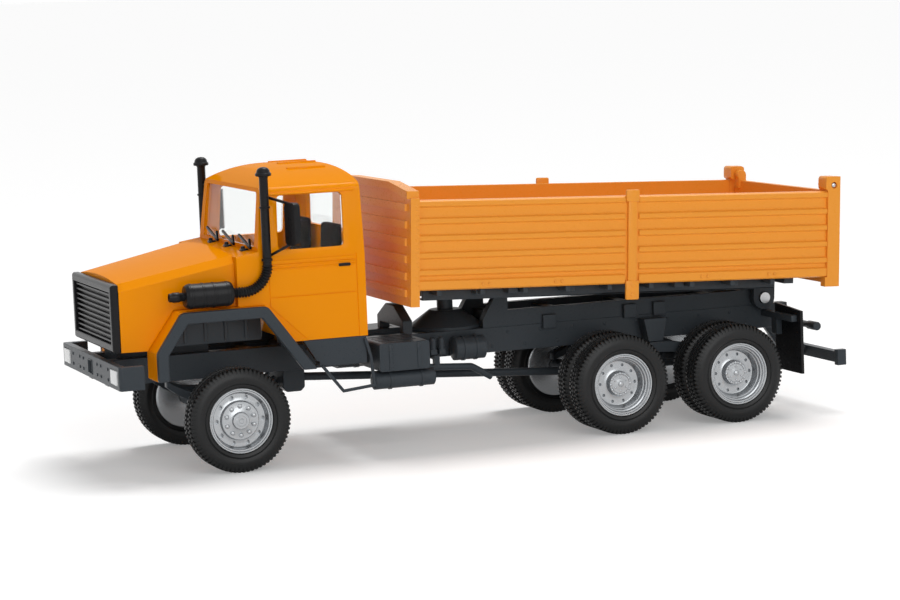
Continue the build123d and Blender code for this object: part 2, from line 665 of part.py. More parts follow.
# Air intakes on both sides: nub, canister, ringed hose and elbow, stack and mushroom cap
elbow_z = CANISTER_Z + ELBOW_RADIUS
elbow_x = STACK_X + ELBOW_RADIUS
canister_x = elbow_x + CANISTER_GAP
CAP_OUTLINE = ((0, 0), (0.6, -0.1), (0.95, -0.5), (0.85, -1.1), (0, -1.1))
COLLAR_HEIGHT = 0.35
COLLAR_ZS = (elbow_z + 0.5, STACK_TOP_Z - 4.6)
with BuildPart() as air_intakes:
    ring_arc = 90 / (2 * ELBOW_RINGS)
    for step in range(2 * ELBOW_RINGS):
        turn = math.radians(step * ring_arc)
        centre = (elbow_x - ELBOW_RADIUS * math.cos(turn), INTAKE_Y, elbow_z - ELBOW_RADIUS * math.sin(turn))
        with BuildSketch(Plane(centre, x_dir=(0, 1, 0), z_dir=(math.sin(turn), 0, -math.cos(turn)))):
            RegularPolygon(STACK_RADIUS + step % 2 * RING_RISE, HOSE_SIDES)
        revolve(axis=Axis((elbow_x, INTAKE_Y, elbow_z), (0, -1, 0)), revolution_arc=ring_arc)
    ring_length = CANISTER_GAP / (2 * HOSE_RINGS)
    for step in range(2 * HOSE_RINGS):
        with BuildSketch(Plane.YZ.offset(elbow_x + step * ring_length)):
            with Locations((INTAKE_Y, CANISTER_Z)):
                RegularPolygon(STACK_RADIUS + step % 2 * RING_RISE, HOSE_SIDES)
        extrude(amount=ring_length)
    with BuildSketch(Plane.XY.offset(elbow_z)):
        with Locations((STACK_X, INTAKE_Y)):
            Circle(STACK_RADIUS)
    extrude(amount=STACK_TOP_Z - 0.8 - elbow_z)
    with Locations(*[(STACK_X, INTAKE_Y, z) for z in COLLAR_ZS]):
        Cylinder(STACK_RADIUS + RING_RISE, COLLAR_HEIGHT)
    with Locations((STACK_X, (CAB_HALF + INTAKE_Y) / 2, BELT_Z - 1.4)):
        Box(0.5, INTAKE_Y - CAB_HALF, 0.4)
    with BuildSketch(Plane((STACK_X, INTAKE_Y, STACK_TOP_Z), x_dir=(1, 0, 0), z_dir=(0, -1, 0))):
        Polygon(*CAP_OUTLINE, align=None)
    revolve(axis=Axis((STACK_X, INTAKE_Y, 0), (0, 0, 1)))
    with Locations(Location((canister_x + CANISTER_LENGTH / 2, INTAKE_Y, CANISTER_Z), (0, 90, 0))):
        Cylinder(CANISTER_RADIUS, CANISTER_LENGTH)
    nub_x = canister_x + CANISTER_LENGTH + NUB_LENGTH / 2
    with Locations(Location((nub_x, INTAKE_Y, CANISTER_Z), (0, 90, 0))):
        Cylinder(NUB_RADIUS, NUB_LENGTH)
    mirror(about=Plane.XZ)

# Mirrors on two-point arms from the front pillars
MIRROR_X = 26.0
MIRROR_Y = 14.6
MIRROR_Z = 29.0
MIRROR_WIDTH = 2.0
MIRROR_HEIGHT = 5.0
MIRROR_HALF_THICK = 0.4
MIRROR_ARM = 0.3
with BuildPart() as mirrors:
    with BuildSketch(Plane((MIRROR_X, MIRROR_Y, MIRROR_Z), x_dir=(-0.35, 0.94, 0), z_dir=(0.94, 0.35, 0))):
        RectangleRounded(MIRROR_WIDTH, MIRROR_HEIGHT, 0.3 * MIRROR_WIDTH)
    extrude(amount=MIRROR_HALF_THICK, both=True)
    for start, end_z in (
        (Vector(SCREEN_TOP_X, ROOF_HALF + 0.45, EAVES_Z - 0.6), MIRROR_Z + 2.3),
        (Vector(DOOR_FRONT_X, CAB_HALF + 0.15, BELT_Z + 0.3), MIRROR_Z - 2.2),
    ):
        run = Vector(MIRROR_X, MIRROR_Y, end_z) - start
        with BuildSketch(Plane(start, z_dir=run)):
            Rectangle(MIRROR_ARM, MIRROR_ARM)
        extrude(amount=run.length)
    mirror(about=Plane.XZ)

# Wipers lying along the foot of the windscreen
with BuildPart() as wipers:
    with BuildSketch(SCREEN_GLASS.offset(-0.3)):
        for y in (6.2, -0.6, -7.4):
            with Locations(Location((y, 0.9, 0), (0, 0, 14))):
                Rectangle(5.2, 0.28)
            with Locations(Location((y - 2.0, 0.85, 0), (0, 0, 60))):
                Rectangle(1.0, 0.3)
    extrude(amount=0.25)

# Door handles
with BuildPart() as door_handles:
    with BuildSketch(side_plane(CAB_HALF + 0.22)):
        with Locations((DOOR_REAR_X + 1.5, BELT_Z - 1.3)):
            RectangleRounded(1.5, 0.36, 0.15)
    extrude(amount=0.2)
    mirror(about=Plane.XZ)

# Engine block seen through the arches, and the transfer case behind it
with BuildPart() as engine_block:
    with BuildSketch(side_plane(FLANGE_IN - 0.2)):
        with BuildLine():
            Polyline(
                (FRONT_AXLE_X + 0.5, RAIL_BOTTOM + 0.2),
                (FRONT_AXLE_X + 12.0, RAIL_BOTTOM + 0.2),
                (FRONT_AXLE_X + 12.0, RAIL_TOP + 5.5),
                (FRONT_AXLE_X + 0.5, RAIL_TOP + 5.0),
                close=True,
            )
        make_face()
    extrude(amount=2 * (FLANGE_IN - 0.2))

TRANSFER_X = 23.0
TRANSFER_LENGTH = 2.8
TRANSFER_Z = 8.9
TRANSFER_DROP = 1.4
TRANSFER_CORNER = 0.5
with BuildPart() as transfer_case:
    with Locations((TRANSFER_X, 0, (RAIL_TOP + TRANSFER_Z - TRANSFER_DROP) / 2)):
        Box(TRANSFER_LENGTH, 2 * FLANGE_IN - 0.3, RAIL_TOP - TRANSFER_Z + TRANSFER_DROP)
    chamfer(transfer_case.edges().filter_by(Axis.Y), TRANSFER_CORNER)

HOUSING_RADIUS = 0.95
DIFF_RADIUS = 2.0


DIFF_HALF = 1.3
CONE_HALF = 2.4


def axle_housing(axle_xs, reach):
    """Axle tubes with a bulged differential, bored for the rods they carry."""
    bore = AXLE_ROD_RADIUS + RUNNING_GAP
    upper_half = (
        (reach, bore),
        (reach, HOUSING_RADIUS),
        (CONE_HALF, HOUSING_RADIUS),
        (DIFF_HALF, DIFF_RADIUS),
    )
    outline = list(upper_half) + [(-y, radius) for y, radius in reversed(upper_half)]
    with BuildPart() as housing:
        for axle_x in axle_xs:
            with BuildSketch(axle_plane(axle_x)):
                Polygon(*outline, align=None)
            revolve(axis=axle_line(axle_x))
    return housing


front_axle_housing = axle_housing((FRONT_AXLE_X,), FRONT_LIP_Y - FRONT_BARREL - HUB_GAP)
rear_axle_housings = axle_housing((MIDDLE_AXLE_X, LAST_AXLE_X), REAR_LIP_Y - REAR_BARREL - HUB_GAP)

# Propeller shafts from the transfer case to the axles
SHAFT_RADIUS = 0.5
SHAFT_GAP = 0.12
with BuildPart() as propshafts:
    for start, end in (
        ((TRANSFER_X - TRANSFER_LENGTH / 2, 0, TRANSFER_Z), (MIDDLE_AXLE_X + DIFF_RADIUS, 0, AXLE_Z + 0.3)),
        ((TRANSFER_X + TRANSFER_LENGTH / 2, 0, TRANSFER_Z), (FRONT_AXLE_X - DIFF_RADIUS, 0, AXLE_Z + 0.3)),
        ((MIDDLE_AXLE_X - DIFF_RADIUS, 0, AXLE_Z + 0.2), (LAST_AXLE_X + DIFF_RADIUS, 0, AXLE_Z + 0.2)),
    ):
        run = Vector(*end) - Vector(*start)
        with BuildSketch(Plane(origin=Vector(*start) + run.normalized() * SHAFT_GAP, z_dir=run)):
            Circle(SHAFT_RADIUS)
        extrude(amount=run.length - 2 * SHAFT_GAP)

# Leaf springs: front packs hung under the rails, bogie packs over the rear axles
BOGIE_MID_X = (MIDDLE_AXLE_X + LAST_AXLE_X) / 2
BOGIE_SPRING_OUT = RAIL_OUT + 2.0
FRONT_SPRING_HALF = 6.4
SPRING_THICK = 0.75
SPRING_WIDTH = 1.2
BOGIE_SPRING_ARCH = 1.6
BOGIE_SPRING_OVERHANG = 1.0
SADDLE_Z = AXLE_Z + HOUSING_RADIUS + SEAT_GAP


def spring_pack(mid_x, half, end_z, mid_z, mid_thick):
    """Side outline of a spring pack: two arcs over the same ends, thicker in the middle."""
    with BuildLine() as outline:
        ThreePointArc((mid_x - half, end_z), (mid_x, mid_z), (mid_x + half, end_z))
        Line((mid_x + half, end_z), (mid_x + half, end_z + SPRING_THICK))
        ThreePointArc(
            (mid_x + half, end_z + SPRING_THICK),
            (mid_x, mid_z + mid_thick),
            (mid_x - half, end_z + SPRING_THICK),
        )
        Line((mid_x - half, end_z + SPRING_THICK), (mid_x - half, end_z))
    return outline.line


EYE_Z = RAIL_BOTTOM - SPRING_THICK - SEAT_GAP
FRONT_PACK = spring_pack(FRONT_AXLE_X, FRONT_SPRING_HALF, EYE_Z, SADDLE_Z, 1.6 * SPRING_THICK)
BOGIE_PACK = spring_pack(
    BOGIE_MID_X,
    BOGIE_SPACING / 2 + BOGIE_SPRING_OVERHANG,
    SADDLE_Z,
    SADDLE_Z + BOGIE_SPRING_ARCH,
    1.8 * SPRING_THICK,
)
with BuildPart() as leaf_springs:
    for outer_y, pack in ((RAIL_OUT, FRONT_PACK), (BOGIE_SPRING_OUT, BOGIE_PACK)):
        with BuildSketch(side_plane(outer_y)):
            make_face(pack.edges())
        extrude(amount=SPRING_WIDTH)
    mirror(about=Plane.XZ)

# Bogie brackets: hangers on the rails that clasp the spring packs from above
with BuildPart() as bogie_brackets:
    with BuildSketch(side_plane(BOGIE_SPRING_OUT)):
        bracket_foot = SADDLE_Z + BOGIE_SPRING_ARCH + 1.8 * SPRING_THICK + 2 * SEAT_GAP
        with BuildLine():
            Polyline(
                (BOGIE_MID_X - 1.0, bracket_foot),
                (BOGIE_MID_X + 1.0, bracket_foot),
                (BOGIE_MID_X + 1.6, RAIL_TOP - 0.4),
                (BOGIE_MID_X - 1.6, RAIL_TOP - 0.4),
                close=True,
            )
        make_face()
    extrude(amount=BOGIE_SPRING_OUT - RAIL_OUT)
    mirror(about=Plane.XZ)

# Tipper subframe: beams on the rails with rest posts in front and bored bearings behind
with BuildPart() as tipper_subframe:
    post_foot_z = BED_REAR_Z + (REST_POST_X - REST_POST_LENGTH / 2 - BED_REAR_X) * BED_SLOPE
    post_top = post_foot_z - BEAM_DEPTH / math.cos(BED_TILT) - REST_GAP
    subframe_rear_x = PIVOT.X - BEARING_LENGTH / 2
    with BuildSketch(side_plane(RAIL_OUT)):
        with BuildLine():
            Polyline(
                (subframe_rear_x, RAIL_TOP),
                (SUBFRAME_FRONT_X, RAIL_TOP),
                (SUBFRAME_FRONT_X, RAIL_TOP + SUBFRAME_DEPTH / 2),
                (REST_POST_X + REST_POST_LENGTH / 2, post_top),
                (REST_POST_X - REST_POST_LENGTH / 2, post_top),
                (REST_POST_X - REST_POST_LENGTH / 2, SUBFRAME_TOP),
                (PIVOT.X + BEARING_LENGTH / 2 + 0.8, SUBFRAME_TOP),
                (PIVOT.X + BEARING_LENGTH / 2, BEARING_TOP),
                (subframe_rear_x, BEARING_TOP),
                close=True,
            )
        make_face()
        with Locations((PIVOT.X, PIVOT.Z)):
            Circle(TIP_SHAFT_RADIUS + SEAT_GAP, mode=Mode.SUBTRACT)
    extrude(amount=SUBFRAME_WIDTH)
    mirror(about=Plane.XZ)
    with Locations(*[(x, 0, RAIL_TOP + SUBFRAME_DEPTH / 2) for x in SUBFRAME_TIE_XS]):
        Box(1.4, 2 * (RAIL_OUT - SUBFRAME_WIDTH), SUBFRAME_DEPTH * 0.6)

# Tip shaft through the bearings and the bed lugs
with BuildPart() as tip_shaft:
    with Locations(Location((PIVOT.X, 0, PIVOT.Z), (90, 0, 0))):
        Cylinder(TIP_SHAFT_RADIUS, 2 * (LUG_IN + LUG_THICK + 0.3))

# Clips that clamp the subframe to the rails
CLIP_XS = (-10.1, -21.5, -25.0)
CLIP_SIZE = 1.75
with BuildPart() as subframe_clips:
    with BuildSketch(side_plane(RAIL_OUT + 0.55)):
        with Locations((CLIP_XS[0], RAIL_TOP + 0.2)):
            Rectangle(CLIP_SIZE, CLIP_SIZE)
        for x in CLIP_XS[1:]:
            with Locations((x + math.copysign(0.3, x - BOGIE_MID_X), RAIL_TOP + 0.65)):
                Rectangle(CLIP_SIZE, CLIP_SIZE)
    extrude(amount=0.55)
    mirror(about=Plane.XZ)

# Ram dish on the rails below the front of the bed, with the closed ram standing in it
DISH_OUTLINE = (
    (0, 0),
    (DISH_RADIUS, 0),
    (DISH_RADIUS, DISH_EDGE),
    (DISH_TOP_RADIUS, DISH_HEIGHT),
    (RAM_RADIUS, DISH_HEIGHT),
    (RAM_RADIUS, RAM_HEIGHT),
    (0, RAM_HEIGHT),
)
with BuildPart() as ram_dish:
    with BuildSketch(Plane((RAM_X, 0, RAIL_TOP), x_dir=(1, 0, 0), z_dir=(0, -1, 0))):
        Polygon(*DISH_OUTLINE, align=None)
    revolve(axis=Axis((RAM_X, 0, 0), (0, 0, 1)))

# Cradle: a bridge on two legs across the rails in front of the dish, with sloped shoulders
with BuildPart() as ram_cradle:
    with BuildSketch(Plane.YZ.offset(CRADLE_X)):
        with BuildLine():
            Polyline(
                (RAIL_OUT, RAIL_TOP),
                (RAIL_OUT, RAIL_TOP + CRADLE_SHOULDER),
                (CRADLE_FLAT, RAIL_TOP + CRADLE_HEIGHT),
                (-CRADLE_FLAT, RAIL_TOP + CRADLE_HEIGHT),
                (-RAIL_OUT, RAIL_TOP + CRADLE_SHOULDER),
                (-RAIL_OUT, RAIL_TOP),
                close=True,
            )
        make_face()
        with Locations((0, RAIL_TOP + CRADLE_CLEAR / 2)):
            Rectangle(2 * (RAIL_OUT - CRADLE_LEG), CRADLE_CLEAR, mode=Mode.SUBTRACT)
    extrude(amount=CRADLE_LENGTH)

# Battery box on the left rail, with a slatted lid
with BuildPart() as battery_box:
    with BuildSketch(side_plane(BOX_OUT)):
        with Locations((BOX_REAR_X + BOX_LENGTH / 2, BOX_TOP - BOX_HEIGHT / 2)):
            RectangleRounded(BOX_LENGTH, BOX_HEIGHT, 0.3)
    extrude(amount=BOX_OUT - RAIL_OUT)
    with BuildSketch(Plane.XY.offset(BOX_TOP)):
        with Locations((BOX_REAR_X + BOX_LENGTH / 2, (BOX_OUT + RAIL_OUT) / 2 - 0.4)):
            with GridLocations(0, 1.3, 1, 4):
                Rectangle(BOX_LENGTH - 1.6, 0.5)
    extrude(amount=-0.3, mode=Mode.SUBTRACT)

# Air tank in two bands below the battery box
TANK_Y = BOX_OUT - 1.5
TANK_Z = BOX_TOP - BOX_HEIGHT - TANK_RADIUS - BAND_RISE - SEAT_GAP
with BuildPart() as air_tank:
    with Locations(Location((BOX_REAR_X + 3.0, TANK_Y, TANK_Z), (0, 90, 0))):
        Cylinder(TANK_RADIUS, TANK_LENGTH)
    for x in (BOX_REAR_X + 0.8, BOX_REAR_X + 4.8):
        with Locations(Location((x, TANK_Y, TANK_Z), (0, 90, 0))):
            Cylinder(TANK_RADIUS + BAND_RISE, BAND_LENGTH)

# Small banded tank and two valve canisters on the left rail
SMALL_TANK_RADIUS = 1.55
SMALL_TANK_X = 1.4
SMALL_TANK_Z = 11.5
SMALL_TANK_LENGTH = 3.9
VALVE_XS = (4.9, 6.0)
VALVE_Z = 12.1
VALVE_RADIUS = 0.4
VALVE_HEIGHT = 1.4
VALVE_Y = RAIL_OUT + 1.5
with BuildPart() as rail_tanks:
    small_tank_y = RAIL_OUT + SMALL_TANK_RADIUS + SEAT_GAP
    with Locations(Location((SMALL_TANK_X, small_tank_y, SMALL_TANK_Z), (0, 90, 0))):
        Cylinder(SMALL_TANK_RADIUS - BAND_RISE, SMALL_TANK_LENGTH)
    for step in (-0.8, 0.8):
        with Locations(Location((SMALL_TANK_X + step, small_tank_y, SMALL_TANK_Z), (0, 90, 0))):
            Cylinder(SMALL_TANK_RADIUS, BAND_LENGTH)
    for x in VALVE_XS:
        with Locations((x, (RAIL_OUT + VALVE_Y + VALVE_RADIUS) / 2, VALVE_Z - 0.8)):
            Box(2 * VALVE_RADIUS, VALVE_Y + VALVE_RADIUS - RAIL_OUT, 0.6)
        with Locations((x, VALVE_Y, VALVE_Z)):
            Cylinder(VALVE_RADIUS, VALVE_HEIGHT)

# Exhaust pipe with a turned-down tail, hung from the small tank side
with BuildPart() as exhaust_pipe:
    with BuildLine(side_plane(RAIL_OUT + 1.4)) as exhaust_line:
        FilletPolyline(
            (7.0, RAIL_BOTTOM - 0.9),
            (1.0, RAIL_BOTTOM - 1.3),
            (-1.6, RAIL_BOTTOM - 2.8),
            radius=1.0,
        )
    with BuildSketch(Plane(exhaust_line.line @ 0, z_dir=exhaust_line.line % 0)):
        Circle(0.42)
    sweep()
    with Locations((5.6, RAIL_OUT + 1.4, RAIL_BOTTOM - 0.25)):
        Box(0.7, 0.7, 1.2)
    with Locations((5.6, RAIL_OUT + 0.35, RAIL_BOTTOM + 0.2)):
        Box(0.7, 0.7, 0.5)
    with Locations((5.6, RAIL_OUT + 1.05, RAIL_BOTTOM + 0.2)):
        Box(0.7, 1.4, 0.5)

# Fuel tank on the right rail with two straps
with BuildPart() as fuel_tank:
    with BuildSketch(Plane.YZ.offset(4.0)):
        with Locations((-(RAIL_OUT + 4.0), 10.9)):
            RectangleRounded(7.6, 4.6, 1.1)
    extrude(amount=10.5)
    with BuildSketch(Plane.YZ.offset(6.0)):
        with Locations((-(RAIL_OUT + 4.0), 10.9)):
            RectangleRounded(7.6 + 2 * BAND_RISE, 4.6 + 2 * BAND_RISE, 1.1 + BAND_RISE)
    extrude(amount=0.6)
    with BuildSketch(Plane.YZ.offset(11.6)):
        with Locations((-(RAIL_OUT + 4.0), 10.9)):
            RectangleRounded(7.6 + 2 * BAND_RISE, 4.6 + 2 * BAND_RISE, 1.1 + BAND_RISE)
    extrude(amount=0.6)

# Mud flaps hung behind the last wheels
FLAP_X = -40.9
FLAP_IN = 7.0
FLAP_OUT = 13.9
FLAP_TOP = 13.4
FLAP_BOTTOM = 5.4
FLAP_THICK = 0.4
with BuildPart() as mud_flaps:
    with BuildSketch(Plane.YZ.offset(FLAP_X - FLAP_THICK / 2)):
        with BuildLine():
            Polyline(
                (FLAP_IN, FLAP_TOP + 0.5),
                (FLAP_OUT, FLAP_TOP),
                (FLAP_OUT, FLAP_BOTTOM),
                (FLAP_IN, FLAP_BOTTOM),
                close=True,
            )
        make_face()
    extrude(amount=FLAP_THICK)
    with Locations((FLAP_X - 0.25, (FLAP_IN + FLAP_OUT) / 2, 8.8)):
        Box(0.3, FLAP_OUT - FLAP_IN, 0.25)
    mirror(about=Plane.XZ)

# Rear brackets: arms that carry the mud flaps, and plates from the rail ends to the underrun bar
BAR_HALF = 12.2
ARM_SIZE = 0.8
ARM_OUT = 13.0
with BuildPart() as rear_brackets:
    with Locations((FLAP_X + FLAP_THICK / 2 + ARM_SIZE / 2, (RAIL_OUT + ARM_OUT) / 2, RAIL_TOP - 1.1)):
        Box(ARM_SIZE, ARM_OUT - RAIL_OUT, ARM_SIZE)
    with Locations((FLAP_X + FLAP_THICK / 2 + ARM_SIZE / 2, FLAP_IN + 1.2, RAIL_TOP - 2.2)):
        Box(ARM_SIZE, 1.4, 2.6)
    with BuildSketch(side_plane(RAIL_IN)):
        with BuildLine():
            Polyline(
                (RAIL_REAR_X, RAIL_TOP - 0.8),
                (RAIL_REAR_X, RAIL_BOTTOM),
                (REAR_BAR_X + 0.5, REAR_BAR_Z - 0.6),
                (REAR_BAR_X + 0.5, REAR_BAR_Z + 0.7),
                (RAIL_REAR_X - 0.7, RAIL_BOTTOM + 1.2),
                (RAIL_REAR_X - 0.5, RAIL_TOP - 0.8),
                close=True,
            )
        make_face()
    extrude(amount=0.8)
    mirror(about=Plane.XZ)

# Underrun bar with end caps
with BuildPart() as underrun_bar:
    with Locations((REAR_BAR_X, 0, REAR_BAR_Z)):
        Box(1.0, 2 * BAR_HALF, 1.4)
    with Locations((REAR_BAR_X, BAR_HALF + 0.35, REAR_BAR_Z), (REAR_BAR_X, -BAR_HALF - 0.35, REAR_BAR_Z)):
        Box(1.24, 0.9, 2.0)

# Rear lamp bars reaching out from the brackets
LAMP_BAR_X = RAIL_REAR_X - 1.2
LAMP_BAR_Z = RAIL_BOTTOM + 0.4
with BuildPart() as rear_lamps:
    with Locations(Location((LAMP_BAR_X, (RAIL_IN + 10.0) / 2, LAMP_BAR_Z), (90, 0, 0))):
        Cylinder(0.42, 10.0 - RAIL_IN)
    with Locations(Location((LAMP_BAR_X, 9.4, LAMP_BAR_Z), (90, 0, 0))):
        Cylinder(0.55, 2.2)
    mirror(about=Plane.XZ)

# Bed floor
with BuildPart() as bed_floor:
    with BuildSketch(BED):
        with Locations(((POST_LENGTH + BED_LENGTH - HEADBOARD_THICK) / 2, 0)):
            Rectangle(BED_LENGTH - HEADBOARD_THICK - POST_LENGTH, 2 * WALL_IN)
    extrude(amount=FLOOR_THICK)

# Bed underframe: two beams, cross bearers, pivot lugs and the ram socket
BEAM_REAR_U = PIVOT_U + BEARING_LENGTH / 2 + 0.4
BEARER_DEPTH = 0.8
RAM_U = BED.to_local_coords(Vector(RAM_X, 0, BED_REAR_Z + (RAM_X - BED_REAR_X) * BED_SLOPE)).X
with BuildPart() as bed_underframe:
    with BuildSketch(bed_side(RAIL_OUT)):
        with Locations(((BEAM_REAR_U + BED_LENGTH - 3.0) / 2, -BEAM_DEPTH / 2)):
            Rectangle(BED_LENGTH - 3.0 - BEAM_REAR_U, BEAM_DEPTH)
    extrude(amount=RAIL_OUT - BEAM_IN)
    mirror(about=Plane.XZ)
    with BuildSketch(BED):
        for u in (PIVOT_U, 14.0, 21.5, 36.3, 43.8, RAM_U):
            with Locations((u, 0)):
                Rectangle(1.3, 2 * WALL_IN - 1.2)
    extrude(amount=-BEARER_DEPTH)
    with BuildSketch(BED):
        with Locations((RAM_U, 0)):
            Circle(1.5)
    extrude(amount=-1.2)
    with BuildSketch(bed_side(LUG_IN + LUG_THICK)):
        with Locations((PIVOT_U, -PIVOT_DROP)):
            Circle(TIP_SHAFT_RADIUS + 0.8)
        with Locations((PIVOT_U, -PIVOT_DROP / 2)):
            Rectangle(2 * TIP_SHAFT_RADIUS + 1.6, PIVOT_DROP)
        with Locations((PIVOT_U, -PIVOT_DROP)):
            Circle(TIP_SHAFT_RADIUS + RUNNING_GAP, mode=Mode.SUBTRACT)
    lugs = extrude(amount=LUG_THICK)
    mirror(lugs, about=Plane.XZ)

# Headboard: higher than the walls, with stepped edges, sloped shoulders, ribs and a forward cap
HEADBOARD_IN = BED_HALF - HEADBOARD_STEP
with BuildPart() as headboard:
    with BuildSketch(bed_end(BED_LENGTH - HEADBOARD_THICK)):
        with BuildLine():
            Polyline(
                (0, -HEADBOARD_DROP),
                (BED_HALF, -HEADBOARD_DROP),
                (BED_HALF, HEADBOARD_EDGE),
                (HEADBOARD_IN, HEADBOARD_EDGE),
                (HEADBOARD_IN, HEADBOARD_SHOULDER),
                (HEADBOARD_FLAT, HEADBOARD_TOP),
                (0, HEADBOARD_TOP),
                close=True,
            )
        make_face()
        mirror(about=Plane.YZ)
    extrude(amount=HEADBOARD_THICK)
    with BuildSketch(bed_end(BED_LENGTH)):
        for row in range(RIB_COUNT + 1):
            with Locations((0, WALL_HEIGHT - RIB_HEIGHT - row * RIB_PITCH)):
                Rectangle(2 * (HEADBOARD_IN - CAP_DEPTH), RIB_HEIGHT)
    extrude(amount=RIB_RISE)
    with BuildSketch(bed_end(BED_LENGTH)):
        with BuildLine():
            Polyline(
                (0, HEADBOARD_TOP),
                (HEADBOARD_FLAT, HEADBOARD_TOP),
                (HEADBOARD_IN, HEADBOARD_SHOULDER),
                (HEADBOARD_IN, HEADBOARD_SHOULDER - CAP_DEPTH),
                (HEADBOARD_FLAT, HEADBOARD_TOP - CAP_DEPTH),
                (0, HEADBOARD_TOP - CAP_DEPTH),
                close=True,
            )
        make_face()
        mirror(about=Plane.YZ)
    extrude(amount=CAP_REACH)


def side_wall(side):
    """One ribbed side wall, plain where its stake stands."""
    wall_length = BED_LENGTH - HEADBOARD_THICK - POST_LENGTH
    panel_y = side * (WALL_IN + WALL_THICK / 2)
    face_y = side * (WALL_IN + WALL_THICK)
    with BuildPart() as wall:
        with BuildSketch(bed_end(POST_LENGTH)):
            with Locations((panel_y, WALL_HEIGHT / 2)):
                Rectangle(WALL_THICK, WALL_HEIGHT)
            bars = [(WALL_HEIGHT - RIB_HEIGHT / 2 - row * RIB_PITCH, RIB_HEIGHT) for row in range(RIB_COUNT)]
            for v, height in bars + [(FOOT_RAIL_HEIGHT / 2, FOOT_RAIL_HEIGHT)]:
                with Locations((face_y, v)):
                    Trapezoid(
                        height, RIB_RISE, RIB_FLANK, rotation=-90 * side, align=(Align.CENTER, Align.MIN)
                    )
        extrude(amount=wall_length)
        with BuildSketch(bed_end(STAKE_U - STAKE_WIDTH / 2 - SEAT_GAP)):
            with Locations((face_y + side * RIB_RISE, WALL_HEIGHT / 2)):
                Rectangle(2 * RIB_RISE, WALL_HEIGHT * 1.2)
        extrude(amount=STAKE_WIDTH + 2 * SEAT_GAP, mode=Mode.SUBTRACT)
    return wall


side_wall_left = side_wall(1)
side_wall_right = side_wall(-1)

# Middle stakes over the walls, with hinge lugs below
with BuildPart() as bed_stakes:
    with BuildSketch(bed_side(BED_HALF + 0.1)):
        with Locations((STAKE_U, (STAKE_TOP - STAKE_DROP) / 2)):
            RectangleRounded(STAKE_WIDTH, STAKE_TOP + STAKE_DROP, 0.35)
    extrude(amount=BED_HALF + 0.1 - WALL_IN - WALL_THICK)
    mirror(about=Plane.XZ)

# Corner posts with bored ears above and lugs below
with BuildPart() as corner_posts:
    with BuildSketch(bed_side(BED_HALF)):
        with Locations((POST_LENGTH / 2, (EAR_TOP - POST_DROP) / 2)):
            Rectangle(POST_LENGTH, EAR_TOP + POST_DROP)
    extrude(amount=BED_HALF - WALL_IN)
    with BuildSketch(bed_side(BED_HALF)):
        with Locations((EAR_LENGTH / 2, (EAR_TOP + WALL_HEIGHT + 0.1) / 2)):
            RectangleRounded(EAR_LENGTH, EAR_TOP - WALL_HEIGHT - 0.1, 0.4)
    extrude(amount=BED_HALF - EAR_IN)
    with BuildSketch(bed_side(BED_HALF)):
        with Locations((POST_LENGTH / 2 + 0.3, -POST_DROP / 2)):
            Rectangle(POST_LENGTH, POST_DROP)
    extrude(amount=BED_HALF - WALL_IN)
    with BuildSketch(bed_side(BED_HALF)):
        with Locations((EAR_PIN_U, EAR_PIN_V)):
            Circle(EAR_PIN_RADIUS + RUNNING_GAP)
    extrude(amount=BED_HALF - EAR_IN, mode=Mode.SUBTRACT)
    mirror(about=Plane.XZ)

# Tailgate hung on the ear pins
GATE_HALF = WALL_IN - 2 * RUNNING_GAP
GATE_ARM_HALF = EAR_IN - 2 * RUNNING_GAP
GATE_REAR_U = 0.1
GATE_THICK = 0.6
GATE_BOTTOM = 0.9
NOTCH_V = EAR_PIN_V - 1.75
with BuildPart() as tailgate:
    with BuildSketch(bed_end(GATE_REAR_U + 0.3)):
        with BuildLine():
            Polyline(
                (GATE_HALF, -GATE_BOTTOM),
                (GATE_HALF, NOTCH_V),
                (GATE_ARM_HALF, NOTCH_V),
                (GATE_ARM_HALF, WALL_HEIGHT),
                (-GATE_ARM_HALF, WALL_HEIGHT),
                (-GATE_ARM_HALF, NOTCH_V),
                (-GATE_HALF, NOTCH_V),
                (-GATE_HALF, -GATE_BOTTOM),
                close=True,
            )
        make_face()
    extrude(amount=GATE_THICK)
    with BuildSketch(bed_end(GATE_REAR_U)):
        for row in range(RIB_COUNT):
            with Locations((0, WALL_HEIGHT - RIB_HEIGHT / 2 - row * RIB_PITCH)):
                Rectangle(2 * GATE_ARM_HALF - 0.4, RIB_HEIGHT)
    extrude(amount=0.3)
    with BuildSketch(bed_side(GATE_ARM_HALF)):
        with Locations((EAR_PIN_U, EAR_PIN_V)):
            Circle(EAR_PIN_RADIUS + 0.3)
        with Locations((EAR_PIN_U - 0.1, (EAR_PIN_V + NOTCH_V) / 2)):
            Rectangle(2 * EAR_PIN_RADIUS + 0.4, EAR_PIN_V - NOTCH_V)
    arm = extrude(amount=0.9)
    mirror(arm, about=Plane.XZ)
    with BuildSketch(bed_side(BED_HALF - 0.3)):
        with Locations((EAR_PIN_U, EAR_PIN_V)):
            Circle(EAR_PIN_RADIUS)
    pin = extrude(amount=BED_HALF - 0.3 - GATE_ARM_HALF + 0.5)
    mirror(pin, about=Plane.XZ)


